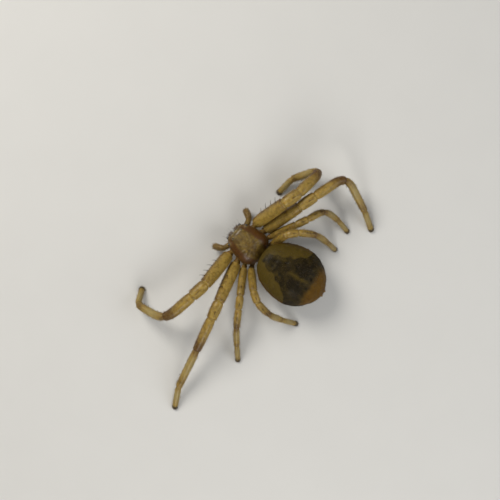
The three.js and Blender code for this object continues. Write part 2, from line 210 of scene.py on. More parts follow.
# Small helpers for smooth functions over arrays
def step(low, high, value):
    """Smooth rise from 0 at low to 1 at high."""
    t = np.clip((np.asarray(value, float) - low) / (high - low), 0, 1)
    return t * t * (3 - 2 * t)


def bump(middle, width, value):
    """A smooth hump of height 1."""
    return np.exp(-(((np.asarray(value, float) - middle) / width) ** 2))


def unit(vectors):
    return vectors / np.maximum(np.linalg.norm(vectors, axis=-1, keepdims=True), 1e-12)


def ring_turns(sides):
    """Even turns round a ring."""
    return np.arange(sides) * 2 * math.pi / sides


def close_ends(count):
    """Shares from 0 to 1 that lie closer together towards both ends."""
    return (1 - np.cos(math.pi * np.linspace(0.002, 0.998, count))) / 2


def power(value, exponent):
    return np.sign(value) * np.abs(value) ** exponent


def rough(points, scale, seed):
    """Noise from -1 to 1 at each point; scale is how many lumps lie in a millimetre."""
    flat = np.asarray(points, float).reshape(-1, 3) * scale + seed * 17.3
    values = np.fromiter((noise.noise(p) for p in flat), float, len(flat))
    return values.reshape(np.shape(points)[:-1])


# Meshes
def to_frame(points):
    return np.asarray(points, float) * MM + np.array(ORIGIN)


def make_object(name, vertices, faces, material, marks=None):
    mesh = bpy.data.meshes.new(name)
    mesh.from_pydata(to_frame(vertices), [], faces)
    mesh.update()
    mesh.shade_smooth()
    if marks is not None:
        layer = mesh.color_attributes.new("marks", "FLOAT_COLOR", "POINT")
        rgba = np.ones((len(vertices), 4))
        rgba[:, :3] = marks
        layer.data.foreach_set("color", rgba.ravel())
    mesh.materials.append(material)
    piece = bpy.data.objects.new(name, mesh)
    bpy.context.scene.collection.objects.link(piece)
    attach(piece, BODY)
    return piece


def skin_faces(rings, sides):
    """Faces of a closed tube of rings whose two ends are drawn together in a pole each."""
    faces = []
    for i in range(rings - 1):
        for j in range(sides):
            k = (j + 1) % sides
            faces.append((i * sides + j, i * sides + k, (i + 1) * sides + k, (i + 1) * sides + j))
    first, last = rings * sides, rings * sides + 1
    for j in range(sides):
        k = (j + 1) % sides
        faces.append((first, k, j))
        faces.append((last, (rings - 1) * sides + j, (rings - 1) * sides + k))
    return faces


def make_skin(name, grid, material, marks=None):
    """A closed piece from a grid of rings, with its marks given ring by ring."""
    if not faces_out(grid):
        grid = grid[:, ::-1]
        marks = marks[:, ::-1] if marks is not None else None
    rings, sides = grid.shape[:2]
    poles = np.array([grid[0].mean(0), grid[-1].mean(0)])
    vertices = np.vstack([grid.reshape(-1, 3), poles])
    if marks is not None:
        ends = np.array([marks[0].mean(0), marks[-1].mean(0)])
        marks = np.vstack([marks.reshape(-1, 3), ends])
    return make_object(name, vertices, skin_faces(rings, sides), material, marks)


def grid_crosses(grid):
    round_it = np.roll(grid, -1, 1) - np.roll(grid, 1, 1)
    return np.cross(round_it, np.gradient(grid, axis=0))


def faces_out(grid):
    return np.sum(grid_crosses(grid) * (grid - grid.mean(1, keepdims=True))) > 0


def grid_normals(grid):
    """Outward directions of a grid that is closed round its sides."""
    normals = unit(grid_crosses(grid))
    return normals if faces_out(grid) else -normals


def marks_on(grid, dark=0.0, warm=0.0, pale=0.0):
    """Marks of a grid, each one value or an array that fits the grid."""
    marks = np.zeros(grid.shape)
    for k, value in enumerate((dark, warm, pale)):
        marks[..., k] = value
    return marks


# Hairs: the share of their length sunk in the skin, how much thinner they get, the lowest that any
# reaches over the floor, the side of a hair's UV patch, the share of the unwrap that roots take up,
# and a slight turn that keeps a section from vanishing where a hair's aim and lie agree
HAIR_SUNK = 0.06
HAIR_TAPER = 0.75
HAIR_CLEARANCE = 0.004
PATCH = 0.003
UNWRAP_SHARE = 0.99
NUDGE = np.array([0.013, 0.007, 0.011])


def make_hairs(name, roots, aims, lies, lengths, thickness, material, uv, joints=2):
    """Tapered three-sided hairs that start along aims and bend towards lies. Each hair's UV patch
    lies at its root's place on the skin's unwrap."""
    roots, aims, lies = (np.asarray(a, float) for a in (roots, unit(aims), unit(lies)))
    lengths = np.asarray(lengths, float)[:, None]
    across = unit(np.cross(aims, lies + NUDGE))
    depth = np.cross(aims, across)
    levels = []
    place = roots - aims * lengths * HAIR_SUNK
    for level in range(joints):
        share = level / joints
        radius = thickness / 2 * (1 - HAIR_TAPER * share)
        for turn in ring_turns(3):
            levels.append(place + (across * math.cos(turn) + depth * math.sin(turn)) * radius)
        way = unit(aims * (1 - share) + lies * share)
        place = place + way * lengths * (1 + HAIR_SUNK) / joints
    levels.append(place)
    per_hair = len(levels)
    above = np.min([level[:, 2] for level in levels], 0) > HAIR_CLEARANCE
    vertices = np.stack(levels, 1)[above].reshape(-1, 3)
    pattern = []
    for level in range(joints - 1):
        for corner in range(3):
            a, b = level * 3 + corner, level * 3 + (corner + 1) % 3
            pattern.append((a, b, b + 3, a + 3))
    top = (joints - 1) * 3
    pattern += [(top + c, top + (c + 1) % 3, per_hair - 1) for c in range(3)]
    pattern.append((2, 1, 0))
    starts = range(0, int(above.sum()) * per_hair, per_hair)
    faces = [tuple(start + i for i in face) for start in starts for face in pattern]
    piece = make_object(name, vertices, faces, material)
    corners = [i for face in pattern for i in face]
    local = np.array([(PATCH / 2 * (i % 3) / 2, PATCH * (i // 3) / joints) for i in corners])
    layer = piece.data.uv_layers.new(name="OFBake")
    patch = (np.asarray(uv)[above][:, None, :] * UNWRAP_SHARE + local[None]).reshape(-1, 2)
    layer.data.foreach_set("uv", patch.ravel())
    return piece


# Node groups shared by the materials
def group(name, inputs, outputs):
    tree = bpy.data.node_groups.new(name, "ShaderNodeTree")
    for label, kind, default in inputs:
        socket = tree.interface.new_socket(label, in_out="INPUT", socket_type=kind)
        socket.default_value = default
    for label, kind in outputs:
        tree.interface.new_socket(label, in_out="OUTPUT", socket_type=kind)
    return tree, tree.nodes.new("NodeGroupInput"), tree.nodes.new("NodeGroupOutput")


def node(tree, kind, inputs=None, **settings):
    made = tree.nodes.new(kind)
    for key, value in settings.items():
        setattr(made, key, value)
    for key, value in (inputs or {}).items():
        if isinstance(value, bpy.types.NodeSocket):
            tree.links.new(value, made.inputs[key])
        else:
            made.inputs[key].default_value = value
    return made


def maths(tree, operation, a, b, clamp=False):
    return node(tree, "ShaderNodeMath", {0: a, 1: b}, operation=operation, use_clamp=clamp).outputs[0]


def mix(tree, share, a, b):
    """A colour between a and b; each may be a socket or a value."""
    made = tree.nodes.new("ShaderNodeMix")
    made.data_type = "RGBA"
    for index, value in ((0, share), (6, a), (7, b)):
        if isinstance(value, bpy.types.NodeSocket):
            tree.links.new(value, made.inputs[index])
        else:
            made.inputs[index].default_value = value
    return made.outputs[2]


def millimetres(tree):
    """The surface's own place, counted in millimetres."""
    place = node(tree, "ShaderNodeTexCoord")
    scaled = node(tree, "ShaderNodeVectorMath", {
        0: place.outputs["Object"], "Scale": 1 / MM}, operation="SCALE")
    return scaled.outputs[0]


# The colours that marks choose from: two of the plain skin, and one for each kind of mark
TONES = ("Main", "Mottle", "Dark", "Warm", "Pale")


def marks_group():
    """Mixes a surface's own colours by its marks: red of the mark is dark, green warm, blue pale."""
    if "Spider markings" in bpy.data.node_groups:
        return bpy.data.node_groups["Spider markings"]
    inputs = [(name, "NodeSocketColor", (0.5, 0.5, 0.5, 1)) for name in TONES]
    inputs += [("Blotch Scale", "NodeSocketFloat", 4.0), ("Raggedness", "NodeSocketFloat", 0.5)]
    tree, entry, leave = group("Spider markings", inputs, [("Color", "NodeSocketColor")])
    given = entry.outputs
    place = millimetres(tree)
    blotch = node(tree, "ShaderNodeTexNoise", {
        "Vector": place, "Scale": given["Blotch Scale"], "Detail": 5.0, "Roughness": 0.65}).outputs[0]
    fine = node(tree, "ShaderNodeTexNoise", {
        "Vector": place, "Scale": 22.0, "Detail": 3.0, "Roughness": 0.6}).outputs[0]
    marks = node(tree, "ShaderNodeAttribute", attribute_name="marks")
    split = node(tree, "ShaderNodeSeparateColor", {0: marks.outputs["Color"]})
    swing = maths(tree, "MULTIPLY", maths(tree, "SUBTRACT", blotch, 0.5), given["Raggedness"])
    speck = maths(tree, "MULTIPLY", maths(tree, "SUBTRACT", fine, 0.5), 0.5)
    swing = maths(tree, "ADD", swing, speck)

    def ragged(channel):
        held = maths(tree, "MULTIPLY", split.outputs[channel], 4.0, clamp=True)
        pushed = maths(tree, "MULTIPLY", swing, held)
        return maths(tree, "ADD", pushed, split.outputs[channel], clamp=True)

    mottled = node(tree, "ShaderNodeMapRange", {
        "Value": blotch, "From Min": 0.4, "From Max": 0.68}, interpolation_type="SMOOTHSTEP")
    tone = mix(tree, mottled.outputs[0], given["Main"], given["Mottle"])
    for channel, name in ((2, "Pale"), (1, "Warm"), (0, "Dark")):
        tone = mix(tree, ragged(channel), tone, given[name])
    tree.links.new(tone, leave.inputs["Color"])
    return tree


def relief_group():
    """Fine scaly relief of the cuticle, with the small pits that bristles stand in."""
    if "Cuticle relief" in bpy.data.node_groups:
        return bpy.data.node_groups["Cuticle relief"]
    defaults = {"Scale": 20.0, "Pits": 0.4, "Folds": 0.3}
    inputs = [(name, "NodeSocketFloat", value) for name, value in defaults.items()]
    outputs = [(name, "NodeSocketFloat") for name in ("Height", "Wear")]
    tree, entry, leave = group("Cuticle relief", inputs, outputs)
    given = entry.outputs
    place = millimetres(tree)
    scales = node(tree, "ShaderNodeTexVoronoi", {
        "Vector": place, "Scale": given["Scale"]}, feature="DISTANCE_TO_EDGE")
    rim = node(tree, "ShaderNodeMapRange", {
        "Value": scales.outputs["Distance"], "From Max": 0.14}, interpolation_type="SMOOTHSTEP")
    holes = node(tree, "ShaderNodeTexVoronoi", {"Vector": place, "Scale": 7.0})
    pits = node(tree, "ShaderNodeMapRange", {
        "Value": holes.outputs["Distance"], "From Min": 0.03, "From Max": 0.2},
        interpolation_type="SMOOTHSTEP")
    folds = node(tree, "ShaderNodeTexNoise", {
        "Vector": place, "Scale": 5.5, "Detail": 4.0, "Distortion": 0.6})
    height = maths(tree, "MULTIPLY", rim.outputs[0], 0.35)
    for level, share in ((pits, "Pits"), (folds, "Folds")):
        height = maths(tree, "ADD", height, maths(tree, "MULTIPLY", level.outputs[0], given[share]))
    tree.links.new(height, leave.inputs["Height"])
    tree.links.new(folds.outputs[0], leave.inputs["Wear"])
    return tree


# Materials
def new_material(name):
    material = bpy.data.materials.new(name)
    material.use_nodes = True
    material.node_tree.nodes.clear()
    return material, material.node_tree


def principled(tree, inputs):
    """The shader of a material, joined to its output."""
    shader = node(tree, "ShaderNodeBsdfPrincipled", inputs)
    node(tree, "ShaderNodeOutputMaterial", {"Surface": shader.outputs[0]})


def cuticle(name, tones, roughness, relief, depth, ragged, blotch, through,
            pits=0.4, folds=0.3, coat=0.12, gloss=0.28):
    """A finish of the spider's skin: its five colours, fine relief, gloss and translucency."""
    if name in bpy.data.materials:
        return bpy.data.materials[name]
    material, tree = new_material(name)
    colouring = node(tree, "ShaderNodeGroup", {
        **{label: tuple(tone) for label, tone in zip(TONES, tones)},
        "Blotch Scale": blotch, "Raggedness": ragged}, node_tree=marks_group())
    surface = node(tree, "ShaderNodeGroup", {
        "Scale": relief, "Pits": pits, "Folds": folds}, node_tree=relief_group())
    shine = node(tree, "ShaderNodeMapRange", {
        "Value": surface.outputs["Wear"], "From Min": 0.3, "From Max": 0.7,
        "To Min": roughness - 0.08, "To Max": roughness + 0.1})
    lift = node(tree, "ShaderNodeBump", {
        "Strength": 0.8, "Distance": depth, "Height": surface.outputs["Height"]})
    principled(tree, {
        "Base Color": colouring.outputs["Color"], "Roughness": shine.outputs[0], "Normal": lift.outputs[0],
        "Subsurface Weight": through, "Subsurface Radius": (1.0, 0.6, 0.3), "Subsurface Scale": 0.00018,
        "Coat Weight": coat, "Coat Roughness": 0.18, "Specular IOR Level": gloss})
    return material


def bristle_material(name, base, tip_light, roughness=0.35):
    """Bristle finish, with slow changes of tone from one bristle to the next."""
    if name in bpy.data.materials:
        return bpy.data.materials[name]
    material, tree = new_material(name)
    tone = node(tree, "ShaderNodeTexNoise", {"Vector": millimetres(tree), "Scale": 9.0, "Detail": 2.0})
    pale = tuple(min(1.0, c * tip_light) for c in base[:3]) + (1.0,)
    principled(tree, {
        "Base Color": mix(tree, tone.outputs[0], tuple(base), pale), "Roughness": roughness,
        "Specular IOR Level": 0.3})
    return material


def fine_hair():
    return bristle_material("Fine hair", tuple(colours().hair), 0.75)


def dark_bristle():
    return bristle_material("Bristle", tuple(colours().bristle), 2.5, 0.3)


def eye_material():
    """Black lens with brown specks and a clear wet coat."""
    if "Eye lens" in bpy.data.materials:
        return bpy.data.materials["Eye lens"]
    material, tree = new_material("Eye lens")
    speck = node(tree, "ShaderNodeTexNoise", {"Vector": millimetres(tree), "Scale": 14.0})
    tone = mix(tree, speck.outputs[0], tuple(colours().eye), (0.03, 0.014, 0.008, 1))
    principled(tree, {
        "Base Color": tone, "Roughness": 0.06, "Coat Weight": 1.0, "Coat Roughness": 0.02})
    return material


def leg_material():
    c = colours()
    return cuticle("Leg cuticle", (c.straw, c.straw_dark, c.brown, c.chestnut, c.rim), roughness=0.4,
                   relief=26.0, depth=0.000005, pits=0.5, ragged=0.55, blotch=5.0, through=0.35)


def carapace_material():
    c = colours()
    return cuticle("Carapace cuticle", (c.tan, c.straw_dark, c.brown, c.chestnut, c.rim), roughness=0.38,
                   relief=24.0, depth=0.000006, ragged=0.45, blotch=3.5, through=0.2, coat=0.2)


def abdomen_material():
    c = colours()
    return cuticle("Abdomen skin", (c.olive, c.folium, c.folium, c.rust, c.olive), roughness=0.5,
                   relief=16.0, depth=0.00001, pits=0.7, folds=0.7, ragged=0.4, blotch=3.5,
                   through=0.1, coat=0.02, gloss=0.1)


# Limbs
class Limb:
    """The middle line of a limb: straight stretches with rounded corners, by length along it."""

    SAMPLES = 40  # points on each stretch
    MOST_BEND = 0.48  # largest share of a segment that the rounding of one corner takes
    REACH = 0.02  # how far ahead and behind a direction is measured

    def __init__(self, points, bends):
        points = [np.array(p, float) for p in points]
        t = np.linspace(0, 1, self.SAMPLES)[:, None]
        stretches = []
        start = points[0]
        for last, corner, following, bend in zip(points, points[1:], points[2:], bends):
            before, after = (
                corner + (end - corner) * min(bend / np.linalg.norm(corner - end), self.MOST_BEND)
                for end in (last, following))
            stretches.append((start + (before - start) * t, False))
            curve = before * (1 - t) ** 2 + corner * 2 * t * (1 - t) + after * t ** 2
            stretches.append((curve, True))
            start = after
        stretches.append((start + (points[-1] - start) * t, False))
        places, self.joints, walked = [points[0]], [], 0.0
        for stretch, is_corner in stretches:
            length = np.linalg.norm(np.diff(stretch, axis=0), axis=1).sum()
            if is_corner:
                self.joints.append(walked + length / 2)
            walked += length
            places.extend(stretch[1:])
        self.places = np.array(places)
        steps = np.linalg.norm(np.diff(self.places, axis=0), axis=1)
        self.lengths = np.concatenate([[0], np.cumsum(steps)])
        self.total = float(self.lengths[-1])
        self.ends = [0.0, *self.joints, self.total]

    def at(self, lengths):
        return np.stack([np.interp(lengths, self.lengths, self.places[:, k]) for k in range(3)], -1)

    def frames(self, lengths, side):
        """Direction of travel, towards the front and towards the back's side, at each length."""
        lengths = np.asarray(lengths, float)
        ahead = self.at(np.minimum(lengths + self.REACH, self.total))
        behind = self.at(np.maximum(lengths - self.REACH, 0))
        forward = unit(ahead - behind)
        level = unit(np.cross(np.array([0.0, 0.0, 1.0]), forward))
        rise = unit(np.cross(forward, level))
        return forward, -level * SIDES[side], rise

    def outwards(self, lengths, turns, side):
        """Direction of travel, and outwards at each turn round the limb."""
        forward, front, rise = self.frames(lengths, side)
        return forward, front * np.cos(turns)[:, None] + rise * np.sin(turns)[:, None]

    def unwrap(self, lengths, turns):
        return np.stack([turns % (2 * math.pi) / (2 * math.pi), lengths / self.total], 1)

    def share(self, lengths, k):
        return np.clip((lengths - self.ends[k]) / (self.ends[k + 1] - self.ends[k]), 0, 1)

    def inside(self, lengths, k):
        return (lengths >= self.ends[k]) & (lengths <= self.ends[k + 1])


def leg_points(side, number):
    root, (headings, heights) = LEG_ROOTS[number], POSE[f"{side}_{number}"]
    angle = math.radians(root["angle"])
    start = np.array([STERNUM_WIDTH / 2 * math.cos(angle),
                      STERNUM_MIDDLE_Y - STERNUM_LENGTH / 2 * math.sin(angle), COXA_HEIGHT])
    points = [start, np.array([root["out"], -root["forward"], root["height"]])]
    for length, heading, height in zip(LEG_LENGTHS[number], headings, (*heights, TIP_HEIGHT)):
        last = points[-1]
        run = math.sqrt(length ** 2 - (height - last[2]) ** 2)
        turn = math.radians(heading)
        points.append(np.array([last[0] + run * math.cos(turn), last[1] - run * math.sin(turn), height]))
    points[0] = points[0] + unit(points[1] - points[0]) * COXA_START
    return [p * np.array([SIDES[side], 1, 1]) for p in points]


def coxa_radius(share):
    """A barrel up to the trochanter and a ring past it, as shares of the coxa's radius."""
    inner = np.minimum(share, TROCHANTER) / TROCHANTER
    outer = (share - TROCHANTER) / (1 - TROCHANTER)
    barrel = np.where(share < TROCHANTER, 0.72 + 0.28 * np.sin(math.pi * inner), 0.78)
    ring = np.where(share >= TROCHANTER, 0.14 * np.sin(math.pi * outer), 0)
    return barrel + ring - 0.1 * bump(TROCHANTER, 0.05, share)


def leg_radius(limb, number, lengths):
    """Radius along a leg: coxa and trochanter, swelling segments with waists at joints, blunt foot."""
    radii = LEG_RADII[number]
    lengths = np.asarray(lengths, float)
    result = np.zeros_like(lengths)
    for k in range(6):
        share = limb.share(lengths, k)
        if k == 0:
            value = COXA_RADII[number] * coxa_radius(share)
        elif k == 5:
            tip = np.maximum(0, (share - 0.86) / 0.14)
            body = radii[4] * (1 - 0.16 * share - 0.14 * np.exp(-share / 0.1))
            value = body * np.sqrt(1 - 0.93 * tip ** 2)
        else:
            thick, after = radii[k - 1], radii[k]
            waist = 0.15 * np.exp(-share / 0.1) + 0.1 * np.exp(-(1 - share) / 0.1)
            swell = 1 + 0.04 * np.sin(math.pi * share ** 0.8)
            value = (thick + ((thick + after) / 2 - thick) * share) * (1 - waist) * swell
        result = np.where(limb.inside(lengths, k), value, result)
    for joint in limb.joints:
        result *= 1 - 0.13 * bump(joint, 0.028, lengths) + 0.03 * bump(joint - 0.08, 0.035, lengths)
        result *= 1 + 0.02 * bump(joint + 0.08, 0.035, lengths)
    return result


def ring_lengths(limb, spacing):
    """Ring places along a limb, closer together at its joints and its rounded tip."""
    base = np.arange(0.0, limb.total, spacing)
    near = [np.arange(j - 0.13, j + 0.13, 0.011) for j in limb.joints]
    tip = limb.total - np.array([0.11, 0.08, 0.055, 0.035, 0.02, 0.008, 0.0])
    every = np.sort(np.concatenate([base, *near, np.linspace(0, 0.05, 5), tip]))
    every = every[(every >= 0) & (every <= limb.total)]
    keep = np.concatenate([[True], np.diff(every) > 0.004])
    return every[keep]


def limb_grid(limb, side, lengths, radii, sides):
    """Rings round a limb, slightly deeper than wide; turn 0 faces the front, a quarter turn the top."""
    forward, front, rise = limb.frames(lengths, side)
    turns = ring_turns(sides)
    if side == "left":
        turns = -turns
    across, up = np.cos(turns)[None, :, None], np.sin(turns)[None, :, None]
    ring = front[:, None] * across + rise[:, None] * up * LIMB_DEPTH
    return limb.at(lengths)[:, None] + ring * radii[:, None, None], turns


def leg_marks(limb, number, lengths, turns):
    """Where the leg is dark, warm and pale: bands at the joints, a dark front edge, a dark foot."""
    along = np.asarray(lengths, float)[:, None]
    facing = np.cos(turns)[None, :]
    upper = np.sin(turns)[None, :]
    is_front = number in STRONG_LEGS
    inside = [limb.inside(along, k).astype(float) for k in range(6)]
    segment = [limb.share(along, k) * inside[k] for k in range(6)]
    dark = 0.25 * inside[1] * step(0.75, 1.0, segment[1])
    dark = dark + inside[3] * 0.8 * step(0.4, 0.85, segment[3])
    dark = dark + inside[4] * (0.55 * bump(0.86, 0.1, segment[4]) + 0.3 * bump(0.0, 0.1, segment[4]))
    dark = dark + inside[5] * (0.3 * bump(0.0, 0.12, segment[5]) + 0.6 * step(0.84, 0.96, segment[5]))
    dark = dark * (1.0 if is_front else 0.6)
    edge = step(0.45, 0.95, facing) * (0.6 if is_front else 0.25)
    dark = dark + edge * (inside[1] + inside[2] + 0.8 * inside[3])
    if not is_front:
        dark = dark + 0.15 * step(0.6, 1.0, upper)
    warm = 0.35 * inside[4] * bump(0.06, 0.1, segment[4])
    warm = warm + 0.5 * inside[3] * step(0.75, 1.0, segment[3])
    warm = warm + 0.5 * inside[0] + 0.15 * inside[1] * (1 - step(0.0, 0.3, segment[1]))
    pale = 0.6 * inside[4] * bump(0.42, 0.28, segment[4])
    pale = pale + 0.8 * inside[5] * bump(0.42, 0.32, segment[5])
    for joint in limb.joints[1:]:
        pale = pale + 0.25 * bump(joint, 0.022, along)
        dark = dark * (1 - 0.6 * bump(joint, 0.022, along)) + 0.25 * bump(joint - 0.07, 0.03, along)
    return np.clip(marks_on(np.zeros((len(along), len(turns), 3)), dark, warm, pale), 0, 1)


def limb_hairs(name, limb, side, radius_at, ranges, count, length, seed, material, spread=0.55):
    """Fine hairs on a limb, leaning towards its tip. Ranges are stretches of its length."""
    rng = np.random.default_rng(seed)
    spans = np.array([b - a for a, b in ranges])
    pick = rng.choice(len(ranges), count, p=spans / spans.sum())
    starts = np.array([ranges[i][0] for i in pick])
    lengths = starts + rng.random(count) * spans[pick]
    turns = rng.random(count) * 2 * math.pi
    forward, outward = limb.outwards(lengths, turns, side)
    roots = limb.at(lengths) + outward * radius_at(lengths)[:, None] * 0.985
    lean = rng.normal(0, 0.12, (count, 3))
    aims = outward * (spread + 0.2 * rng.random(count))[:, None] + forward * 0.8 + lean
    lies = outward * 0.12 + forward + lean
    long = length / MM * (0.6 + 0.75 * rng.random(count))
    keep = roots[:, 2] > 0.05
    return make_hairs(name, roots[keep], aims[keep], lies[keep], long[keep], sizes().hair_thickness / MM,
                      material, limb.unwrap(lengths, turns)[keep])


def leg_limb(side, number):
    return Limb(leg_points(side, number), BENDS)


def leg_nodes(side, number):
    return [f"leg_{side}_{number}_{name}" for name in LEG_NODES]


def every_leg():
    return [(side, number) for side in SIDES for number in (1, 2, 3, 4)]


class SPIDER_OT_legs(bpy.types.Operator):
    """Make the eight legs, each one skin from its coxa to the tip of its tarsus."""

    bl_idname = "spider.legs"
    bl_label = "Legs"

    def execute(self, context):
        for side, number in every_leg():
            limb = leg_limb(side, number)
            lengths = ring_lengths(limb, 0.036)
            radii = leg_radius(limb, number, lengths)
            start = np.clip(lengths / 0.05, 0, 1)
            radii = radii * np.sqrt(1 - (1 - start) ** 2 * 0.9)
            grid, turns = limb_grid(limb, side, lengths, radii, 26)
            grid += grid_normals(grid) * (0.006 * rough(grid, 3.0, number))[..., None]
            grid[..., 2] = np.maximum(grid[..., 2], 0)
            marks = leg_marks(limb, number, lengths, turns)
            leg = make_skin(f"leg_{side}_{number}_skin", grid, leg_material(), marks)
            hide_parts(*leg_nodes(side, number))
        return {"FINISHED"}


# Rows of strong spines, as in the part: segment, first and last share of it, how many, and the turn
# round the leg in degrees, 0 at its front edge and 90 on top
UNDER_ROWS = (
    (3, 0.14, 0.76, 4, 238), (3, 0.14, 0.76, 4, 302), (4, 0.12, 0.86, 5, 235), (4, 0.12, 0.86, 5, 305),
    (2, 0.5, 0.5, 1, 95),
)
REAR_ROWS = (
    (1, 0.35, 0.7, 2, 90), (2, 0.5, 0.5, 1, 95), (3, 0.3, 0.7, 2, 80), (4, 0.3, 0.8, 2, 250),
    (4, 0.3, 0.8, 2, 290),
)
SPINE_ROWS = {
    1: ((1, 0.36, 0.87, 4, 20), *UNDER_ROWS),
    2: ((1, 0.4, 0.7, 2, 60), *UNDER_ROWS),
    3: REAR_ROWS,
    4: REAR_ROWS,
}


class SPIDER_OT_spines(bpy.types.Operator):
    """Make the strong spines of the legs, longest under the front four."""

    bl_idname = "spider.spines"
    bl_label = "Leg spines"

    def execute(self, context):
        material = bristle_material("Spine", tuple(colours().bristle), 2.2, 0.28)
        for side, number in every_leg():
            limb = leg_limb(side, number)
            rng = np.random.default_rng(40 + number)
            lengths, turns = [], []
            for segment, first, last, count, angle in SPINE_ROWS[number]:
                start, end = limb.ends[segment:segment + 2]
                for share in np.linspace(first, last, count):
                    lengths.append(start + share * (end - start))
                    turns.append(math.radians(angle + rng.uniform(-4, 4)))
            lengths, turns = np.array(lengths), np.array(turns)
            forward, outward = limb.outwards(lengths, turns, side)
            roots = limb.at(lengths) + outward * leg_radius(limb, number, lengths)[:, None] * 0.96
            aims = outward * 0.8 + forward * 0.62
            lies = outward * 0.45 + forward * 0.9
            full = sizes().spine_length / MM * (1.0 if number in STRONG_LEGS else 0.6)
            long = full * rng.uniform(0.8, 1.1, len(lengths))
            make_hairs(f"leg_{side}_{number}_spines", roots, aims, lies, long, sizes().spine_thickness / MM,
                       material, limb.unwrap(lengths, turns), joints=5)
        return {"FINISHED"}


class SPIDER_OT_leg_hair(bpy.types.Operator):
    """Make the fine hairs of the legs and the dense dark tufts under their claws."""

    bl_idname = "spider.leg_hair"
    bl_label = "Leg hair"

    def execute(self, context):
        fine = fine_hair()
        dark = bristle_material("Claw tuft", (0.07, 0.055, 0.035, 1), 2.0)
        for side, number in every_leg():
            limb = leg_limb(side, number)

            def radius_at(lengths):
                return leg_radius(limb, number, lengths)

            ranges = [(limb.ends[k] + 0.08, limb.ends[k + 1] - 0.06) for k in range(1, 6)]
            count = 2400 if number in STRONG_LEGS else 1400
            limb_hairs(f"leg_{side}_{number}_hair", limb, side, radius_at, ranges, count,
                       sizes().leg_hair_length, 100 + number, fine)
            tip = [(limb.total - 0.2, limb.total - 0.03)]
            limb_hairs(f"leg_{side}_{number}_tuft", limb, side, radius_at, tip, 420,
                       sizes().leg_hair_length * 0.75, 200 + number, dark, spread=0.3)
        return {"FINISHED"}


# Claws: their length, their thickest radius and the least height of their middle line
CLAW_LENGTH = 0.16
CLAW_RADIUS = 0.022
CLAW_CLEARANCE = 0.012


class SPIDER_OT_claws(bpy.types.Operator):
    """Make the pair of small hooked claws at the tip of each leg."""

    bl_idname = "spider.claws"
    bl_label = "Claws"

    def execute(self, context):
        material = bristle_material("Claw", (0.03, 0.014, 0.007, 1), 1.8, 0.2)
        t = np.linspace(0, 1, 9)[:, None]
        arch = 0.05 * np.sin(math.pi * np.minimum(1, t * 1.2)) - 0.06 * t * t
        radius = CLAW_RADIUS * np.sqrt(np.linspace(1, 0.02, len(t)))[:, None, None]
        turns = ring_turns(8)[None, :, None]
        for side, number in every_leg():
            limb = leg_limb(side, number)
            end = np.array([limb.total])
            forward, front, rise = (a[0] for a in limb.frames(end, side))
            tip = limb.at(end)[0]
            vertices, faces = [], []
            for spread in (-1, 1):
                base = tip - forward * 0.05 + front * spread * 0.03 + rise * 0.03
                hook = base + forward * CLAW_LENGTH * t + rise * arch
                hook[:, 2] = np.maximum(hook[:, 2], CLAW_CLEARANCE)
                way = unit(np.gradient(hook, axis=0))
                across = unit(np.cross(way, rise))
                over = np.cross(across, way)
                ring = across[:, None] * np.cos(turns) + over[:, None] * np.sin(turns)
                grid = hook[:, None] + ring * radius
                grid[..., 2] = np.maximum(grid[..., 2], 0.001)
                first = len(vertices)
                vertices.extend([*grid.reshape(-1, 3), grid[0].mean(0), grid[-1].mean(0)])
                faces.extend(tuple(i + first for i in face) for face in skin_faces(len(hook), 8))
            make_object(f"leg_{side}_{number}_claws", np.array(vertices), faces, material)
        return {"FINISHED"}


# Body
def carapace_half_width(a):
    taper = np.where(a < 0.45, 1 - 0.3 * (np.maximum(0.45 - a, 0) / 1.45) ** 1.6, 1)
    end = np.where(a < 0, (1 - np.abs(a) ** 9) ** 0.4, (1 - np.maximum(a, 0) ** 3) ** 0.55)
    return CARAPACE_WIDTH / 2 * taper * end


def carapace_dome(a):
    end = np.where(a < 0, (1 - np.abs(a) ** 12) ** 0.4, (1 - np.maximum(a, 0) ** 2) ** 0.5)
    slope = np.where(a > 0.1, 1 - 0.35 * np.maximum(a - 0.1, 0) ** 1.5, 1 - 0.1 * (0.1 - a) ** 2)
    return DOME * slope * end


def eye_place(place, side):
    """Centre, radius and outward direction of an eye, from its solid."""
    low, high = (np.array(v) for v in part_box(f"eye_{place}_{side}"))
    centre = ((low + high) / 2 - np.array(ORIGIN)) / MM
    radius = float((high - low).mean()) / 2 / MM
    middle = np.array([0, CARAPACE_FRONT + CARAPACE_LENGTH / 2, RIM_HEIGHT])
    return centre, radius, unit(centre - middle)


def every_eye():
    return [(place, side) for place in EYE_PLACES for side in SIDES]


# Furrows on each side of the carapace, which run from its pit: heading in degrees, reach and depth
FURROWS = ((-68, 0.95, 0.03), (-25, 0.75, 0.022), (12, 0.7, 0.02), (45, 0.6, 0.018))
CARAPACE_PIT_Y = 0.32
# Eye mounds, in the eye's radius: how deep they root, height, spread, and reach of the pale ring
EYE_MOUNDS = {"lateral": (1.3, 1.5, 1.75, 2.1), "median": (0.15, 0.3, 1.5, 1.4)}


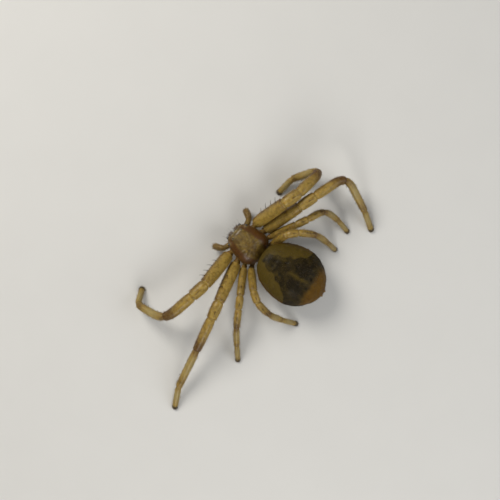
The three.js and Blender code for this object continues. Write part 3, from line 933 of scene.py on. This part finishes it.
def carapace_grid(rings=150, sides=112):
    """The carapace: domed over a thin rim, with its furrows, its pit and the mounds of its eyes."""
    a = (2 * close_ends(rings) - 1)[:, None]
    turns = ring_turns(sides)[None]
    across, up = np.cos(turns), np.sin(turns)
    x = carapace_half_width(a) * power(across, 0.9)
    y = CARAPACE_FRONT + (a + 1) / 2 * CARAPACE_LENGTH + 0 * x
    z = RIM_HEIGHT + np.where(up > 0, carapace_dome(a) * np.abs(up) ** 0.85, CARAPACE_BELLY * up)
    grid = np.stack([x, y, z], -1)
    above = np.broadcast_to(step(0.05, 0.4, up), x.shape)
    lift = np.zeros_like(x)
    behind = y - CARAPACE_PIT_Y
    for side in SIDES.values():
        for angle, reach, depth in FURROWS:
            way = side * math.cos(math.radians(angle)), math.sin(math.radians(angle))
            along = x * way[0] + behind * way[1]
            off = x * way[1] - behind * way[0] + side * 0.08 * np.sin(along * 2.2)
            ended = 1 - step(reach - 0.2, reach, along)
            lift -= depth * bump(0, 0.05, off) * step(0.1, 0.3, along) * ended
    lift -= 0.035 * bump(0, 0.03, x) * bump(CARAPACE_PIT_Y, 0.13, y)
    edge = bump(1.0, 0.05, np.abs(across)) * step(-0.9, -0.6, a)
    lift = lift * above + 0.014 * edge + 0.007 * rough(grid, 2.2, 5) * above
    grid = grid + grid_normals(grid) * lift[..., None]
    for place, side in every_eye():
        centre, radius, outward = eye_place(place, side)
        sunk, height, spread, _ = EYE_MOUNDS[place.split("_")[1]]
        root = centre - outward * radius * sunk
        away = np.linalg.norm(grid - root, axis=-1) / (radius * spread)
        grid = grid + outward * (height * radius * np.exp(-away ** 2))[..., None]
    return grid, a + 0 * x, up + 0 * x


def carapace_marks(grid, a, up):
    """Tan middle, chestnut side bands, dark branching lines, and pale lines in front and at the eyes."""
    x, y = grid[..., 0], grid[..., 1]
    share = np.abs(x) / np.maximum(carapace_half_width(a), 0.05)
    wander = 0.05 * rough(grid, 2.4, 11) + 0.03 * rough(grid, 6.0, 12)
    band = step(0.5, 0.64, share + wander) * (1 - 0.55 * step(0.93, 1.0, share))
    warm = 0.85 * band * step(-0.2, 0.1, up)
    dark = 0.5 * band * (0.5 + 0.5 * rough(grid, 3.5, 13)) + 0.35 * bump(0.58, 0.07, share + wander)
    dark += 0.4 * bump(0, 0.05, x) * step(0.1, 0.5, y) * (1 - step(0.7, 0.9, y))
    dark += 0.3 * step(0.82, 1.0, a)
    pale = 0.5 * bump(-0.96, 0.035, a) * step(0.0, 0.4, up) + 0.12 * bump(0.2, 0.12, share) * (a < 0)
    for place, side in every_eye():
        centre, radius, _ = eye_place(place, side)
        away = np.linalg.norm(grid - centre, axis=-1)
        near = bump(0, radius * EYE_MOUNDS[place.split("_")[1]][3], away)
        pale += 0.65 * near
        dark *= 1 - 0.8 * near
        warm *= 1 - near
    return np.clip(np.stack([dark, warm, pale], -1), 0, 1)


def ball(centre, radii, rings=24, sides=32):
    """A closed grid of rings round an egg, its axis along Y."""
    t = close_ends(rings)[:, None] * math.pi
    turns = ring_turns(sides)[None]
    grid = np.stack([
        np.sin(t) * np.cos(turns) * radii[0],
        -np.cos(t) * np.ones_like(turns) * radii[1],
        np.sin(t) * np.sin(turns) * radii[2],
    ], -1)
    return grid + np.asarray(centre)


def tube(path, radii, sides=24):
    """Rings square to a path of points, with one axis of each level with the ground."""
    path = np.asarray(path, float)
    forward = unit(np.gradient(path, axis=0))
    level = np.cross([0.0, 0.0, 1.0], forward)
    steep = np.linalg.norm(level, axis=1) < 0.05
    level[steep] = [1.0, 0.0, 0.0]
    level = unit(level)
    rise = np.cross(forward, level)
    turns = ring_turns(sides)[None, :, None]
    ring = level[:, None] * np.cos(turns) + rise[:, None] * np.sin(turns)
    return path[:, None] + ring * np.asarray(radii)[:, None, None]


class SPIDER_OT_carapace(bpy.types.Operator):
    """Make the carapace with its furrows and eye mounds."""

    bl_idname = "spider.carapace"
    bl_label = "Carapace"

    def execute(self, context):
        grid, a, up = carapace_grid()
        shell = make_skin("carapace_shell", grid, carapace_material(), carapace_marks(grid, a, up))
        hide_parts("carapace")
        return {"FINISHED"}


class SPIDER_OT_eyes(bpy.types.Operator):
    """Make the eight eyes, each a bulging lens on its mound."""

    bl_idname = "spider.eyes"
    bl_label = "Eyes"

    def execute(self, context):
        for place, side in every_eye():
            centre, radius, _ = eye_place(place, side)
            eye = make_skin(f"{place}_{side}_lens", ball(centre, [radius] * 3), eye_material())
            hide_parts(f"eye_{place}_{side}")
        return {"FINISHED"}


class SPIDER_OT_underside(bpy.types.Operator):
    """Make the sternum, the lip and jaw lobes before it, and the thin waist to the abdomen."""

    bl_idname = "spider.underside"
    bl_label = "Sternum and waist"

    def execute(self, context):
        a = (2 * close_ends(48) - 1)[:, None]
        turns = ring_turns(56)[None]
        across, up = np.cos(turns), np.sin(turns)
        round_it = (1 - a ** 2) ** 0.5
        height = RIM_HEIGHT - CARAPACE_BELLY - GAP - STERNUM_BOTTOM
        x = STERNUM_WIDTH / 2 * round_it * across
        z = STERNUM_BOTTOM + height / 2 * (1 + np.minimum(1, 1.6 * round_it) * power(up, 0.5))
        grid = np.stack([x, STERNUM_MIDDLE_Y + STERNUM_LENGTH / 2 * a + 0 * x, z], -1)
        notches = 0.018 * np.cos(a * 13) * step(0.6, 0.95, np.abs(across))
        grid[..., 0] -= np.sign(x) * notches
        marks = marks_on(grid, 0.35 * step(0.75, 1.0, np.abs(across)), 0.3)
        plate = make_skin("sternum_plate", grid, carapace_material(), marks)
        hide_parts("sternum")
        for name, side in SIDES.items():
            lobe = ball([0.17 * side, -0.66, 0.55], [0.11, 0.25, 0.1])
            lobe[..., 0] -= side * 0.35 * (lobe[..., 1] + 0.66) ** 2 * 2
            marks = marks_on(lobe, pale=0.5 * step(-0.75, -0.88, lobe[..., 1]))
            make_skin(f"jaw_lobe_{name}", lobe, carapace_material(), marks)
        lip = ball([0, -0.56, 0.52], [0.1, 0.14, 0.07])
        make_skin("lip", lip, carapace_material(), marks_on(lip))
        share = np.linspace(0, 1, 40)
        start, end = np.array([0, 0.98, 0.72]), np.array([-0.03, 1.5, 0.86])
        path = start + (end - start) * share[:, None]
        radii = WAIST_RADIUS * (1 - 0.1 * np.sin(math.pi * share) + 0.04 * np.cos(share * 44))
        waist = tube(path, radii)
        made = make_skin("waist", waist, carapace_material(), marks_on(waist, warm=0.5))
        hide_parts("pedicel")
        return {"FINISHED"}


JAW_OVERHANG = 0.07  # how far the jaws stand out before the carapace


class SPIDER_OT_jaws(bpy.types.Operator):
    """Make the two chelicerae, each with its fang folded inwards below."""

    bl_idname = "spider.jaws"
    bl_label = "Chelicerae and fangs"

    def execute(self, context):
        fang_material = bristle_material("Fang", (0.05, 0.012, 0.004, 1), 1.8, 0.18)
        for name, side in SIDES.items():
            x = side * (JAW_WIDTH / 2 + GAP / 2)
            y = CARAPACE_FRONT + JAW_DEPTH / 2 - JAW_OVERHANG
            ends = np.array([[x, y, JAW_TOP], [x, y - 0.04, JAW_TOP - JAW_LENGTH / 2],
                             [0.92 * x, y + 0.05, JAW_TOP - JAW_LENGTH]])
            t = np.concatenate([[0, 0.01, 0.03], np.linspace(0.06, 0.97, 34), [0.985, 0.995, 1]])[:, None]
            path = ends[0] * (1 - t) * (1 - 2 * t) + ends[1] * 4 * t * (1 - t) + ends[2] * t * (2 * t - 1)
            share = t[:, 0]
            round_end = np.sqrt(np.clip(1 - (np.maximum(share - 0.75, 0) / 0.252) ** 2, 0.004, 1))
            size = np.where(share < 0.75, 1 - 0.12 * share, 0.91 * round_end)
            size = size * (1 + 0.06 * bump(0.35, 0.25, share))
            size = size * np.sqrt(np.clip(share / 0.03, 0.05, 1))
            turns = ring_turns(40)[None]
            grid = np.stack([
                path[:, :1] + JAW_WIDTH / 2 * size[:, None] * np.cos(turns),
                path[:, 1:2] + JAW_DEPTH / 2 * size[:, None] * np.sin(turns),
                path[:, 2:3] + 0 * turns,
            ], -1)
            marks = marks_on(grid, 0.2 + 0.35 * bump(0.9, 0.1, t), 0.75 - 0.5 * bump(0.1, 0.15, t))
            jaw = make_skin(f"chelicera_{name}_shell", grid, carapace_material(), marks)
            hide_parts(f"chelicera_{name}")
            front = step(0.0, 0.6, -np.sin(turns)) * step(0.08, 0.2, share)[:, None]
            points, normals, onward, shares, rng = scatter(grid, 90, 70, front)
            lengths = 0.07 + 0.1 * rng.random(len(points))
            make_hairs(f"chelicera_{name}_bristles", points - normals * 0.005, normals + onward * 0.5,
                       normals * 0.5 + onward, lengths, sizes().hair_thickness / MM * 1.6,
                       dark_bristle(), shares)
            s = np.linspace(0, 1, 20)
            bend = s * 1.9
            fang = np.stack([
                0.92 * x - side * (0.26 * np.sin(bend * 0.8) * s - 0.06),
                y + 0.05 + 0.1 * s - 0.03,
                JAW_TOP - JAW_LENGTH + 0.05 - 0.13 * np.sin(bend),
            ], -1)
            grid = tube(fang, 0.055 * np.sqrt(1 - 0.985 * s), sides=18)
            make_skin(f"fang_{name}", grid, fang_material)
        return {"FINISHED"}


class SPIDER_OT_palps(bpy.types.Operator):
    """Make the two palps, bent down beside the jaws, with their bristles."""

    bl_idname = "spider.palps"
    bl_label = "Palps"

    def execute(self, context):
        for name, side in SIDES.items():
            limb = Limb([np.array(p) * [side, 1, 1] for p in PALP_PATH], PALP_BENDS)

            def radius_at(lengths):
                first = limb.joints[0]
                s = np.clip(lengths / first, 0, 1)
                thigh = 0.135 * (1 - 0.2 * np.exp(-s / 0.12) - 0.08 * np.exp(-(1 - s) / 0.12))
                s = np.clip((lengths - first) / (limb.total - first), 0, 1)
                tip = np.maximum(0, (s - 0.8) / 0.2)
                foot = 0.14 + 0.02 * np.sin(math.pi * s) - 0.016 * np.exp(-s / 0.1)
                foot = foot * np.sqrt(1 - 0.95 * tip ** 2) * (1 - 0.13 * bump(0.33, 0.04, s))
                root = np.sqrt(1 - 0.97 * (1 - np.clip(lengths / 0.09, 0, 1)) ** 2)
                return np.where(lengths < first, thigh, foot) * root

            lengths = ring_lengths(limb, 0.024)
            grid, _ = limb_grid(limb, name, lengths, radius_at(lengths), 28)
            share = (lengths / limb.total)[:, None]
            dark = 0.3 + 0.3 * step(0.55, 1.0, share) - 0.3 * bump(0.35, 0.05, share)
            marks = marks_on(grid, dark, 0.35 * step(0.2, 0.5, share))
            palp = make_skin(f"palp_{name}_skin", grid, leg_material(), marks)
            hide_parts(f"palp_{name}_femur", f"palp_{name}_tarsus")
            base = ball([0.46 * side, -0.56, 0.6], [0.2, 0.12, 0.11])
            make_skin(f"palp_{name}_coxa", base, leg_material(), marks_on(base, warm=0.3))
            limb_hairs(f"palp_{name}_hair", limb, name, radius_at, [(0.1, limb.total - 0.03)], 900,
                       sizes().leg_hair_length, 300, fine_hair(), spread=0.5)
        return {"FINISHED"}


# Abdomen
def in_abdomen(points):
    """Turns points of the abdomen's own space and moves them to its place behind the carapace."""
    points = np.asarray(points, float)
    c, s = math.cos(ABDOMEN_YAW), math.sin(ABDOMEN_YAW)
    x, y = points[..., 0], points[..., 1]
    return np.stack([x * c - y * s, x * s + y * c + ABDOMEN_ROOT_Y, points[..., 2]], -1)


def abdomen_share(s, exponent):
    back = np.maximum(0, (s - ABDOMEN_WIDEST) / (1 - ABDOMEN_WIDEST))
    return (np.sin(math.pi / 2 * np.minimum(s / ABDOMEN_WIDEST, 1)) ** exponent
            * np.maximum(0, 1 - back ** 1.9) ** 0.6)


# Pits of the abdomen where its muscles hold: share of its length, share of its half width
ABDOMEN_PITS = ((0.2, 0.13), (0.34, 0.24), (0.5, 0.3), (0.64, 0.26), (0.76, 0.2))


def abdomen_grid(rings=190, sides=168):
    s = close_ends(rings)[:, None]
    turns = ring_turns(sides)[None]
    across, up = np.cos(turns), np.sin(turns)
    x = ABDOMEN_WIDTH / 2 * abdomen_share(s, 0.38) * across
    over = ABDOMEN_RISE * abdomen_share(s, 0.45) * up
    under = ABDOMEN_DROP * abdomen_share(s, 0.8) * up
    z = np.where(up > 0, over, under)
    lift = 0.38 * np.maximum(0, 1 - s / 0.4) ** 1.3 - 0.45 * np.maximum(0, s - 0.5) ** 1.5
    grid = np.stack([x, s * ABDOMEN_LENGTH + 0 * x, ABDOMEN_MIDDLE + lift + z], -1)
    s, across, up = s + 0 * x, across + 0 * x, up + 0 * x
    side = step(0.45, 0.95, np.abs(across))
    rear = step(0.6, 0.95, s)
    depth = sizes().wrinkle_depth / MM
    wave = 0.8 * rough(grid, 0.9, 21)
    folds = np.sin((s * 62 + wave * 5)) * (0.35 + 0.65 * rough(grid, 1.4, 22)) * (side * 0.8 + rear)
    creases = np.sin(turns * 38 + wave * 4) * side * (1 - step(0.1, 0.5, up)) * 0.7
    pocks = 0.6 * rough(grid, 3.2, 23) + 0.35 * rough(grid, 7.0, 24)
    push = depth * (folds + creases + pocks * 1.2)
    half = ABDOMEN_WIDTH / 2 * abdomen_share(s, 0.38)
    for along, off in ABDOMEN_PITS:
        for which in SIDES.values():
            dx = x - which * off * half
            dy = (s - along) * ABDOMEN_LENGTH
            away = np.sqrt(dx ** 2 + dy ** 2)
            push -= step(0, 0.3, up) * (0.055 * bump(0, 0.055, away) + 0.03 * bump(0, 0.16, away))
    push -= 0.03 * step(0.5, 0.9, up) * bump(0, 0.06, x) * step(0.08, 0.2, s) * (1 - step(0.7, 0.85, s))
    push = push * step(0.0, 0.05, s) * (1 - step(0.96, 1.0, s))
    grid = grid + grid_normals(grid) * push[..., None]
    return grid, s, across, up


# The dark figure: shares of the abdomen's length, and the share of its half width that is dark there
FIGURE_WIDTHS = (
    (0, 0.1, 0.3, 0.42, 0.5, 0.55, 0.62, 1),
    (0.28, 0.34, 0.42, 0.52, 0.64, 0.75, 1.2, 1.4),
)
# Darker spots in it: share of the length, share of the half width, and their reach both ways
FIGURE_SPOTS = ((0.55, 0.3, 0.05, 0.14), (0.66, 0.42, 0.045, 0.16), (0.6, 0.16, 0.03, 0.07))


def abdomen_marks(grid, s, across, up):
    """Dark figure that widens towards the rear, pale margin and streak, and the rust rear end."""
    ragged = 0.07 * rough(grid, 1.6, 31) + 0.05 * rough(grid, 4.5, 32)
    share = np.abs(across) + ragged
    width = np.interp(s, *FIGURE_WIDTHS) + 0.03 * np.sin(s * 42)
    figure = (1 - step(-0.035, 0.035, share - width)) * step(-0.15, 0.15, up)
    figure = figure * step(0.02, 0.09, s + ragged * 0.4)
    dark = 0.78 * figure * (1 + 0.25 * rough(grid, 3.0, 34))
    for along, off, long, wide in FIGURE_SPOTS:
        dark += 0.5 * figure * bump(along, long, s) * bump(off, wide, np.abs(across))
    streak = bump(0, 0.055, across + ragged * 0.3) * step(0.4, 0.47, s) * (1 - step(0.7, 0.76, s))
    streak += 0.5 * bump(0.3, 0.06, np.abs(across)) * step(0.1, 0.16, s) * (1 - step(0.3, 0.42, s))
    dark *= 1 - 0.75 * streak
    dark += 0.25 * step(0.1, 0.4, -up) * (0.5 + rough(grid, 2.4, 33))
    rust = step(0.74, 0.86, s + ragged * 0.6) * step(-0.3, 0.1, up)
    dark *= 1 - 0.62 * rust
    warm = 0.85 * rust + 0.6 * bump(0.985, 0.03, np.abs(across)) * step(0.03, 0.1, s)
    dark += 0.35 * bump(0.97, 0.03, np.abs(across))
    for along, off in ABDOMEN_PITS:
        near = bump(along, 0.016, s) * bump(off, 0.045, np.abs(across)) * step(0, 0.3, up)
        dark += 0.5 * near
    pale = 0.8 * (1 - figure) * step(-0.1, 0.2, up) * (1 - rust) + 0.5 * streak
    return np.clip(np.stack([dark, warm, pale], -1), 0, 1)


def scatter(grid, count, seed, weight):
    """Random places on a grid, as dense as its weight: points, outward and onward directions, shares
    of the unwrap, and the source of random numbers."""
    rng = np.random.default_rng(seed)
    area = np.linalg.norm(grid_crosses(grid), axis=-1)[:-1] * weight[:-1]
    cells = rng.choice(area.size, count, p=area.ravel() / area.sum())
    rows, columns = np.divmod(cells, grid.shape[1])
    after = (columns + 1) % grid.shape[1]
    u, v = rng.random((count, 1)), rng.random((count, 1))

    def blend(field):
        near = field[rows, columns] * (1 - v) + field[rows, after] * v
        far = field[rows + 1, columns] * (1 - v) + field[rows + 1, after] * v
        return near * (1 - u) + far * u

    points, normals = blend(grid), unit(blend(grid_normals(grid)))
    onward = unit(blend(np.gradient(grid, axis=0)))
    shares = np.stack([(columns + v[:, 0]) / grid.shape[1], (rows + u[:, 0]) / grid.shape[0]], 1)
    return points, normals, onward, shares, rng


class SPIDER_OT_abdomen(bpy.types.Operator):
    """Make the broad abdomen with its folds, pits and dark figure."""

    bl_idname = "spider.abdomen"
    bl_label = "Abdomen"

    def execute(self, context):
        grid, s, across, up = abdomen_grid()
        marks = abdomen_marks(grid, s, across, up)
        skin = make_skin("abdomen_skin", in_abdomen(grid), abdomen_material(), marks)
        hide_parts("abdomen")
        return {"FINISHED"}


class SPIDER_OT_spinnerets(bpy.types.Operator):
    """Make the cluster of six spinnerets and the small lobe above them."""

    bl_idname = "spider.spinnerets"
    bl_label = "Spinnerets"

    def execute(self, context):
        material = leg_material()
        cones = [("lower", 0.11, -0.07, 0.1, 0.36), ("middle", 0.045, 0.01, 0.05, 0.24),
                 ("upper", 0.095, 0.09, 0.08, 0.34)]
        share = np.linspace(0, 1, 22)
        # Each cone: its place beside and above the middle, its radius and its length
        for name, side in SIDES.items():
            for which, off, height, radius, length in cones:
                start = np.array([side * off, ABDOMEN_LENGTH - 0.26, SPINNERET_HEIGHT + height])
                way = np.array([side * 0.12, 0.95, height * 0.6 - 0.05])
                path = in_abdomen(start + way * (share * length)[:, None])
                radii = radius * (1 - 0.35 * share) * np.sqrt(1 - 0.94 * step(0.82, 1.0, share))
                radii = radii * (1 - 0.14 * bump(0.55, 0.05, share))
                grid = tube(path, radii, sides=20)
                marks = marks_on(grid, (0.35 + 0.3 * bump(0.3, 0.2, share))[:, None], 0.4)
                make_skin(f"spinneret_{which}_{name}", grid, material, marks)
        lobe = ball([0, ABDOMEN_LENGTH - 0.22, SPINNERET_HEIGHT + 0.2], [0.09, 0.16, 0.08])
        make_skin("rear_lobe", in_abdomen(lobe), material, marks_on(lobe, warm=0.7))
        collar = ball([0, ABDOMEN_LENGTH - 0.3, SPINNERET_HEIGHT], [0.23, 0.12, 0.2])
        marks = marks_on(collar, dark=0.5)
        base = make_skin("spinneret_collar", in_abdomen(collar), material, marks)
        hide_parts("spinnerets")
        return {"FINISHED"}


# Places of the long bristles over the jaws, across the head
FRONT_BRISTLES = np.array((-0.52, -0.36, -0.2, -0.07, 0.07, 0.2, 0.36, 0.52))


class SPIDER_OT_body_hair(bpy.types.Operator):
    """Make the bristles of the carapace and abdomen, and the long ones over the jaws."""

    bl_idname = "spider.body_hair"
    bl_label = "Body bristles"

    def execute(self, context):
        dark = dark_bristle()
        fine = bristle_material("Down", (0.06, 0.04, 0.012, 1), 2.0, 0.6)
        thin = sizes().hair_thickness / MM
        long = sizes().body_hair_length / MM
        grid, s, _, _ = abdomen_grid(rings=120, sides=96)
        placed = in_abdomen(grid)
        points, normals, onward, shares, rng = scatter(placed, 1100, 61, step(0.0, 0.06, s))
        lengths = long * (0.55 + 0.6 * rng.random(len(points)))
        aims = normals * 0.75 + onward * 0.7 + rng.normal(0, 0.1, points.shape)
        make_hairs("abdomen_bristles", points - normals * 0.006, aims, normals * 0.25 + onward,
                   lengths, thin * 1.5, dark, shares)
        points, normals, onward, shares, rng = scatter(placed, 4200, 62, step(0.0, 0.06, s))
        lengths = long * (0.3 + 0.3 * rng.random(len(points)))
        aims = normals * 0.5 + onward * 0.9 + rng.normal(0, 0.15, points.shape)
        make_hairs("abdomen_down", points - normals * 0.006, aims, normals * 0.1 + onward,
                   lengths, thin * 0.8, fine, shares)
        grid, a, up = carapace_grid(rings=110, sides=80)
        top = step(0.02, 0.2, up) * (1 - step(0.9, 0.98, a))
        points, normals, onward, shares, rng = scatter(grid, 120, 63, top)
        aims = normals - onward * 0.35 + rng.normal(0, 0.1, points.shape)
        lengths = 0.17 + 0.13 * rng.random(len(points))
        make_hairs("carapace_bristles", points - normals * 0.006, aims, normals * 0.6 - onward * 0.8,
                   lengths, thin * 1.6, dark, shares, joints=3)
        points, normals, onward, shares, rng = scatter(grid, 1800, 64, top)
        aims = normals * 0.5 - onward * 0.8 + rng.normal(0, 0.15, points.shape)
        make_hairs("carapace_down", points - normals * 0.005, aims, normals * 0.2 - onward,
                   0.05 + 0.06 * rng.random(len(points)), thin * 0.8, fine, shares)
        same = np.ones_like(FRONT_BRISTLES)
        roots = np.stack([FRONT_BRISTLES, same * (CARAPACE_FRONT + 0.02), same * (RIM_HEIGHT + 0.1)], 1)
        aims = np.stack([FRONT_BRISTLES * 0.5, -same, same * 0.1], 1)
        lies = aims + np.array([0, 0, -0.45])
        uv = np.stack([0.1 + 0.1 * np.arange(len(same)), same * 0.03], 1)
        make_hairs("front_bristles", roots, aims, lies, same * 0.42, thin * 2.2, dark, uv,
                   joints=5)
        return {"FINISHED"}


# Stage
SENSOR_WIDTH = 36.0
FLOOR_REACH = 3.0  # metres from the middle of the floor to its sides


def area_light(name, place, size, power_watts, tint):
    light = bpy.data.lights.new(name, "AREA")
    light.shape = "DISK"
    light.size = size * MM
    light.energy = power_watts
    light.color = tint
    lamp = bpy.data.objects.new(name, light)
    bpy.context.scene.collection.objects.link(lamp)
    here = Vector(to_frame(place))
    target = Vector(to_frame(tuple(VIEW_MIDDLE)))
    lamp.location = here
    lamp.rotation_euler = (target - here).to_track_quat("-Z", "Y").to_euler()


class SPIDER_OT_stage(bpy.types.Operator):
    """Set the plain floor, the soft lights and the camera of the photograph's view."""

    bl_idname = "spider.stage"
    bl_label = "Stage"

    def execute(self, context):
        scene = context.scene
        settings = scene.spider_stage
        material, tree = new_material("Floor")
        tone = node(tree, "ShaderNodeTexNoise", {"Vector": millimetres(tree), "Scale": 0.35, "Detail": 4.0})
        dim = tuple(c * 0.96 for c in settings.floor[:3]) + (1.0,)
        principled(tree, {
            "Base Color": mix(tree, tone.outputs[0], tuple(settings.floor), dim), "Roughness": 0.85})
        mesh = bpy.data.meshes.new("floor")
        signs = ((-1, -1), (1, -1), (1, 1), (-1, 1))
        mesh.from_pydata([(x * FLOOR_REACH, y * FLOOR_REACH, 0) for x, y in signs], [], [(0, 1, 2, 3)])
        mesh.materials.append(material)
        floor = bpy.data.objects.new("floor", mesh)
        scene.collection.objects.link(floor)
        high = Vector((0, 0, 1))
        right = VIEW_UP.cross(high)
        places = {
            "key": (VIEW_UP * 45 - right * 42 + high * 62, 46, settings.key_power, (1.0, 0.97, 0.92)),
            "fill": (right * 62 - VIEW_UP * 12 + high * 48, 56, settings.fill_power, (0.93, 0.96, 1.0)),
            "back": (-VIEW_UP * 60 + high * 40, 34, settings.fill_power, (1.0, 0.98, 0.95)),
        }
        for name, (place, size, watts, tint) in places.items():
            area_light(name, tuple(place), size, watts, tint)
        world = bpy.data.worlds.new("Studio")
        world.use_nodes = True
        background = world.node_tree.nodes["Background"]
        background.inputs["Color"].default_value = (0.95, 0.97, 1.0, 1)
        background.inputs["Strength"].default_value = settings.sky_strength
        scene.world = world
        data = bpy.data.cameras.new("camera")
        data.sensor_width = SENSOR_WIDTH
        data.lens = SENSOR_WIDTH * VIEW_DISTANCE / VIEW_SPAN
        data.clip_start = MM
        data.clip_end = 10.0
        data.dof.use_dof = False
        camera = bpy.data.objects.new("camera", data)
        scene.collection.objects.link(camera)
        turn = Matrix((right, VIEW_UP, high)).transposed().to_4x4()
        place = Vector(to_frame(tuple(VIEW_MIDDLE + high * VIEW_DISTANCE)))
        camera.matrix_world = Matrix.Translation(place) @ turn
        scene.camera = camera
        scene.view_settings.view_transform = "Standard"
        return {"FINISHED"}


PIECES = (
    SPIDER_OT_carapace, SPIDER_OT_eyes, SPIDER_OT_underside, SPIDER_OT_jaws, SPIDER_OT_palps, SPIDER_OT_legs,
    SPIDER_OT_spines, SPIDER_OT_leg_hair, SPIDER_OT_claws, SPIDER_OT_abdomen, SPIDER_OT_spinnerets,
    SPIDER_OT_body_hair, SPIDER_OT_stage,
)
SETTINGS = {"spider_sizes": SpiderSizes, "spider_colours": SpiderColours, "spider_stage": SpiderStage}


class SPIDER_PT_panel(bpy.types.Panel):
    """Lists the spider's pieces with the sizes and colours they take."""

    bl_idname = "SPIDER_PT_panel"
    bl_label = "Crab spider"
    bl_space_type = "VIEW_3D"
    bl_region_type = "UI"
    bl_category = "Spider"

    def draw(self, context):
        for name, settings in SETTINGS.items():
            box = self.layout.box()
            for key in settings.__annotations__:
                box.prop(getattr(context.scene, name), key)
        for piece in PIECES:
            self.layout.operator(piece.bl_idname)


CLASSES = (*SETTINGS.values(), *PIECES, SPIDER_PT_panel)


def register():
    for cls in CLASSES:
        bpy.utils.register_class(cls)
    for name, settings in SETTINGS.items():
        setattr(bpy.types.Scene, name, bpy.props.PointerProperty(type=settings))


def unregister():
    for name in SETTINGS:
        delattr(bpy.types.Scene, name)
    for cls in reversed(CLASSES):
        bpy.utils.unregister_class(cls)


def main():
    register()
    for piece in PIECES:
        group_name, operator = piece.bl_idname.split(".")
        getattr(getattr(bpy.ops, group_name), operator)()


if __name__ == "__main__":
    main()
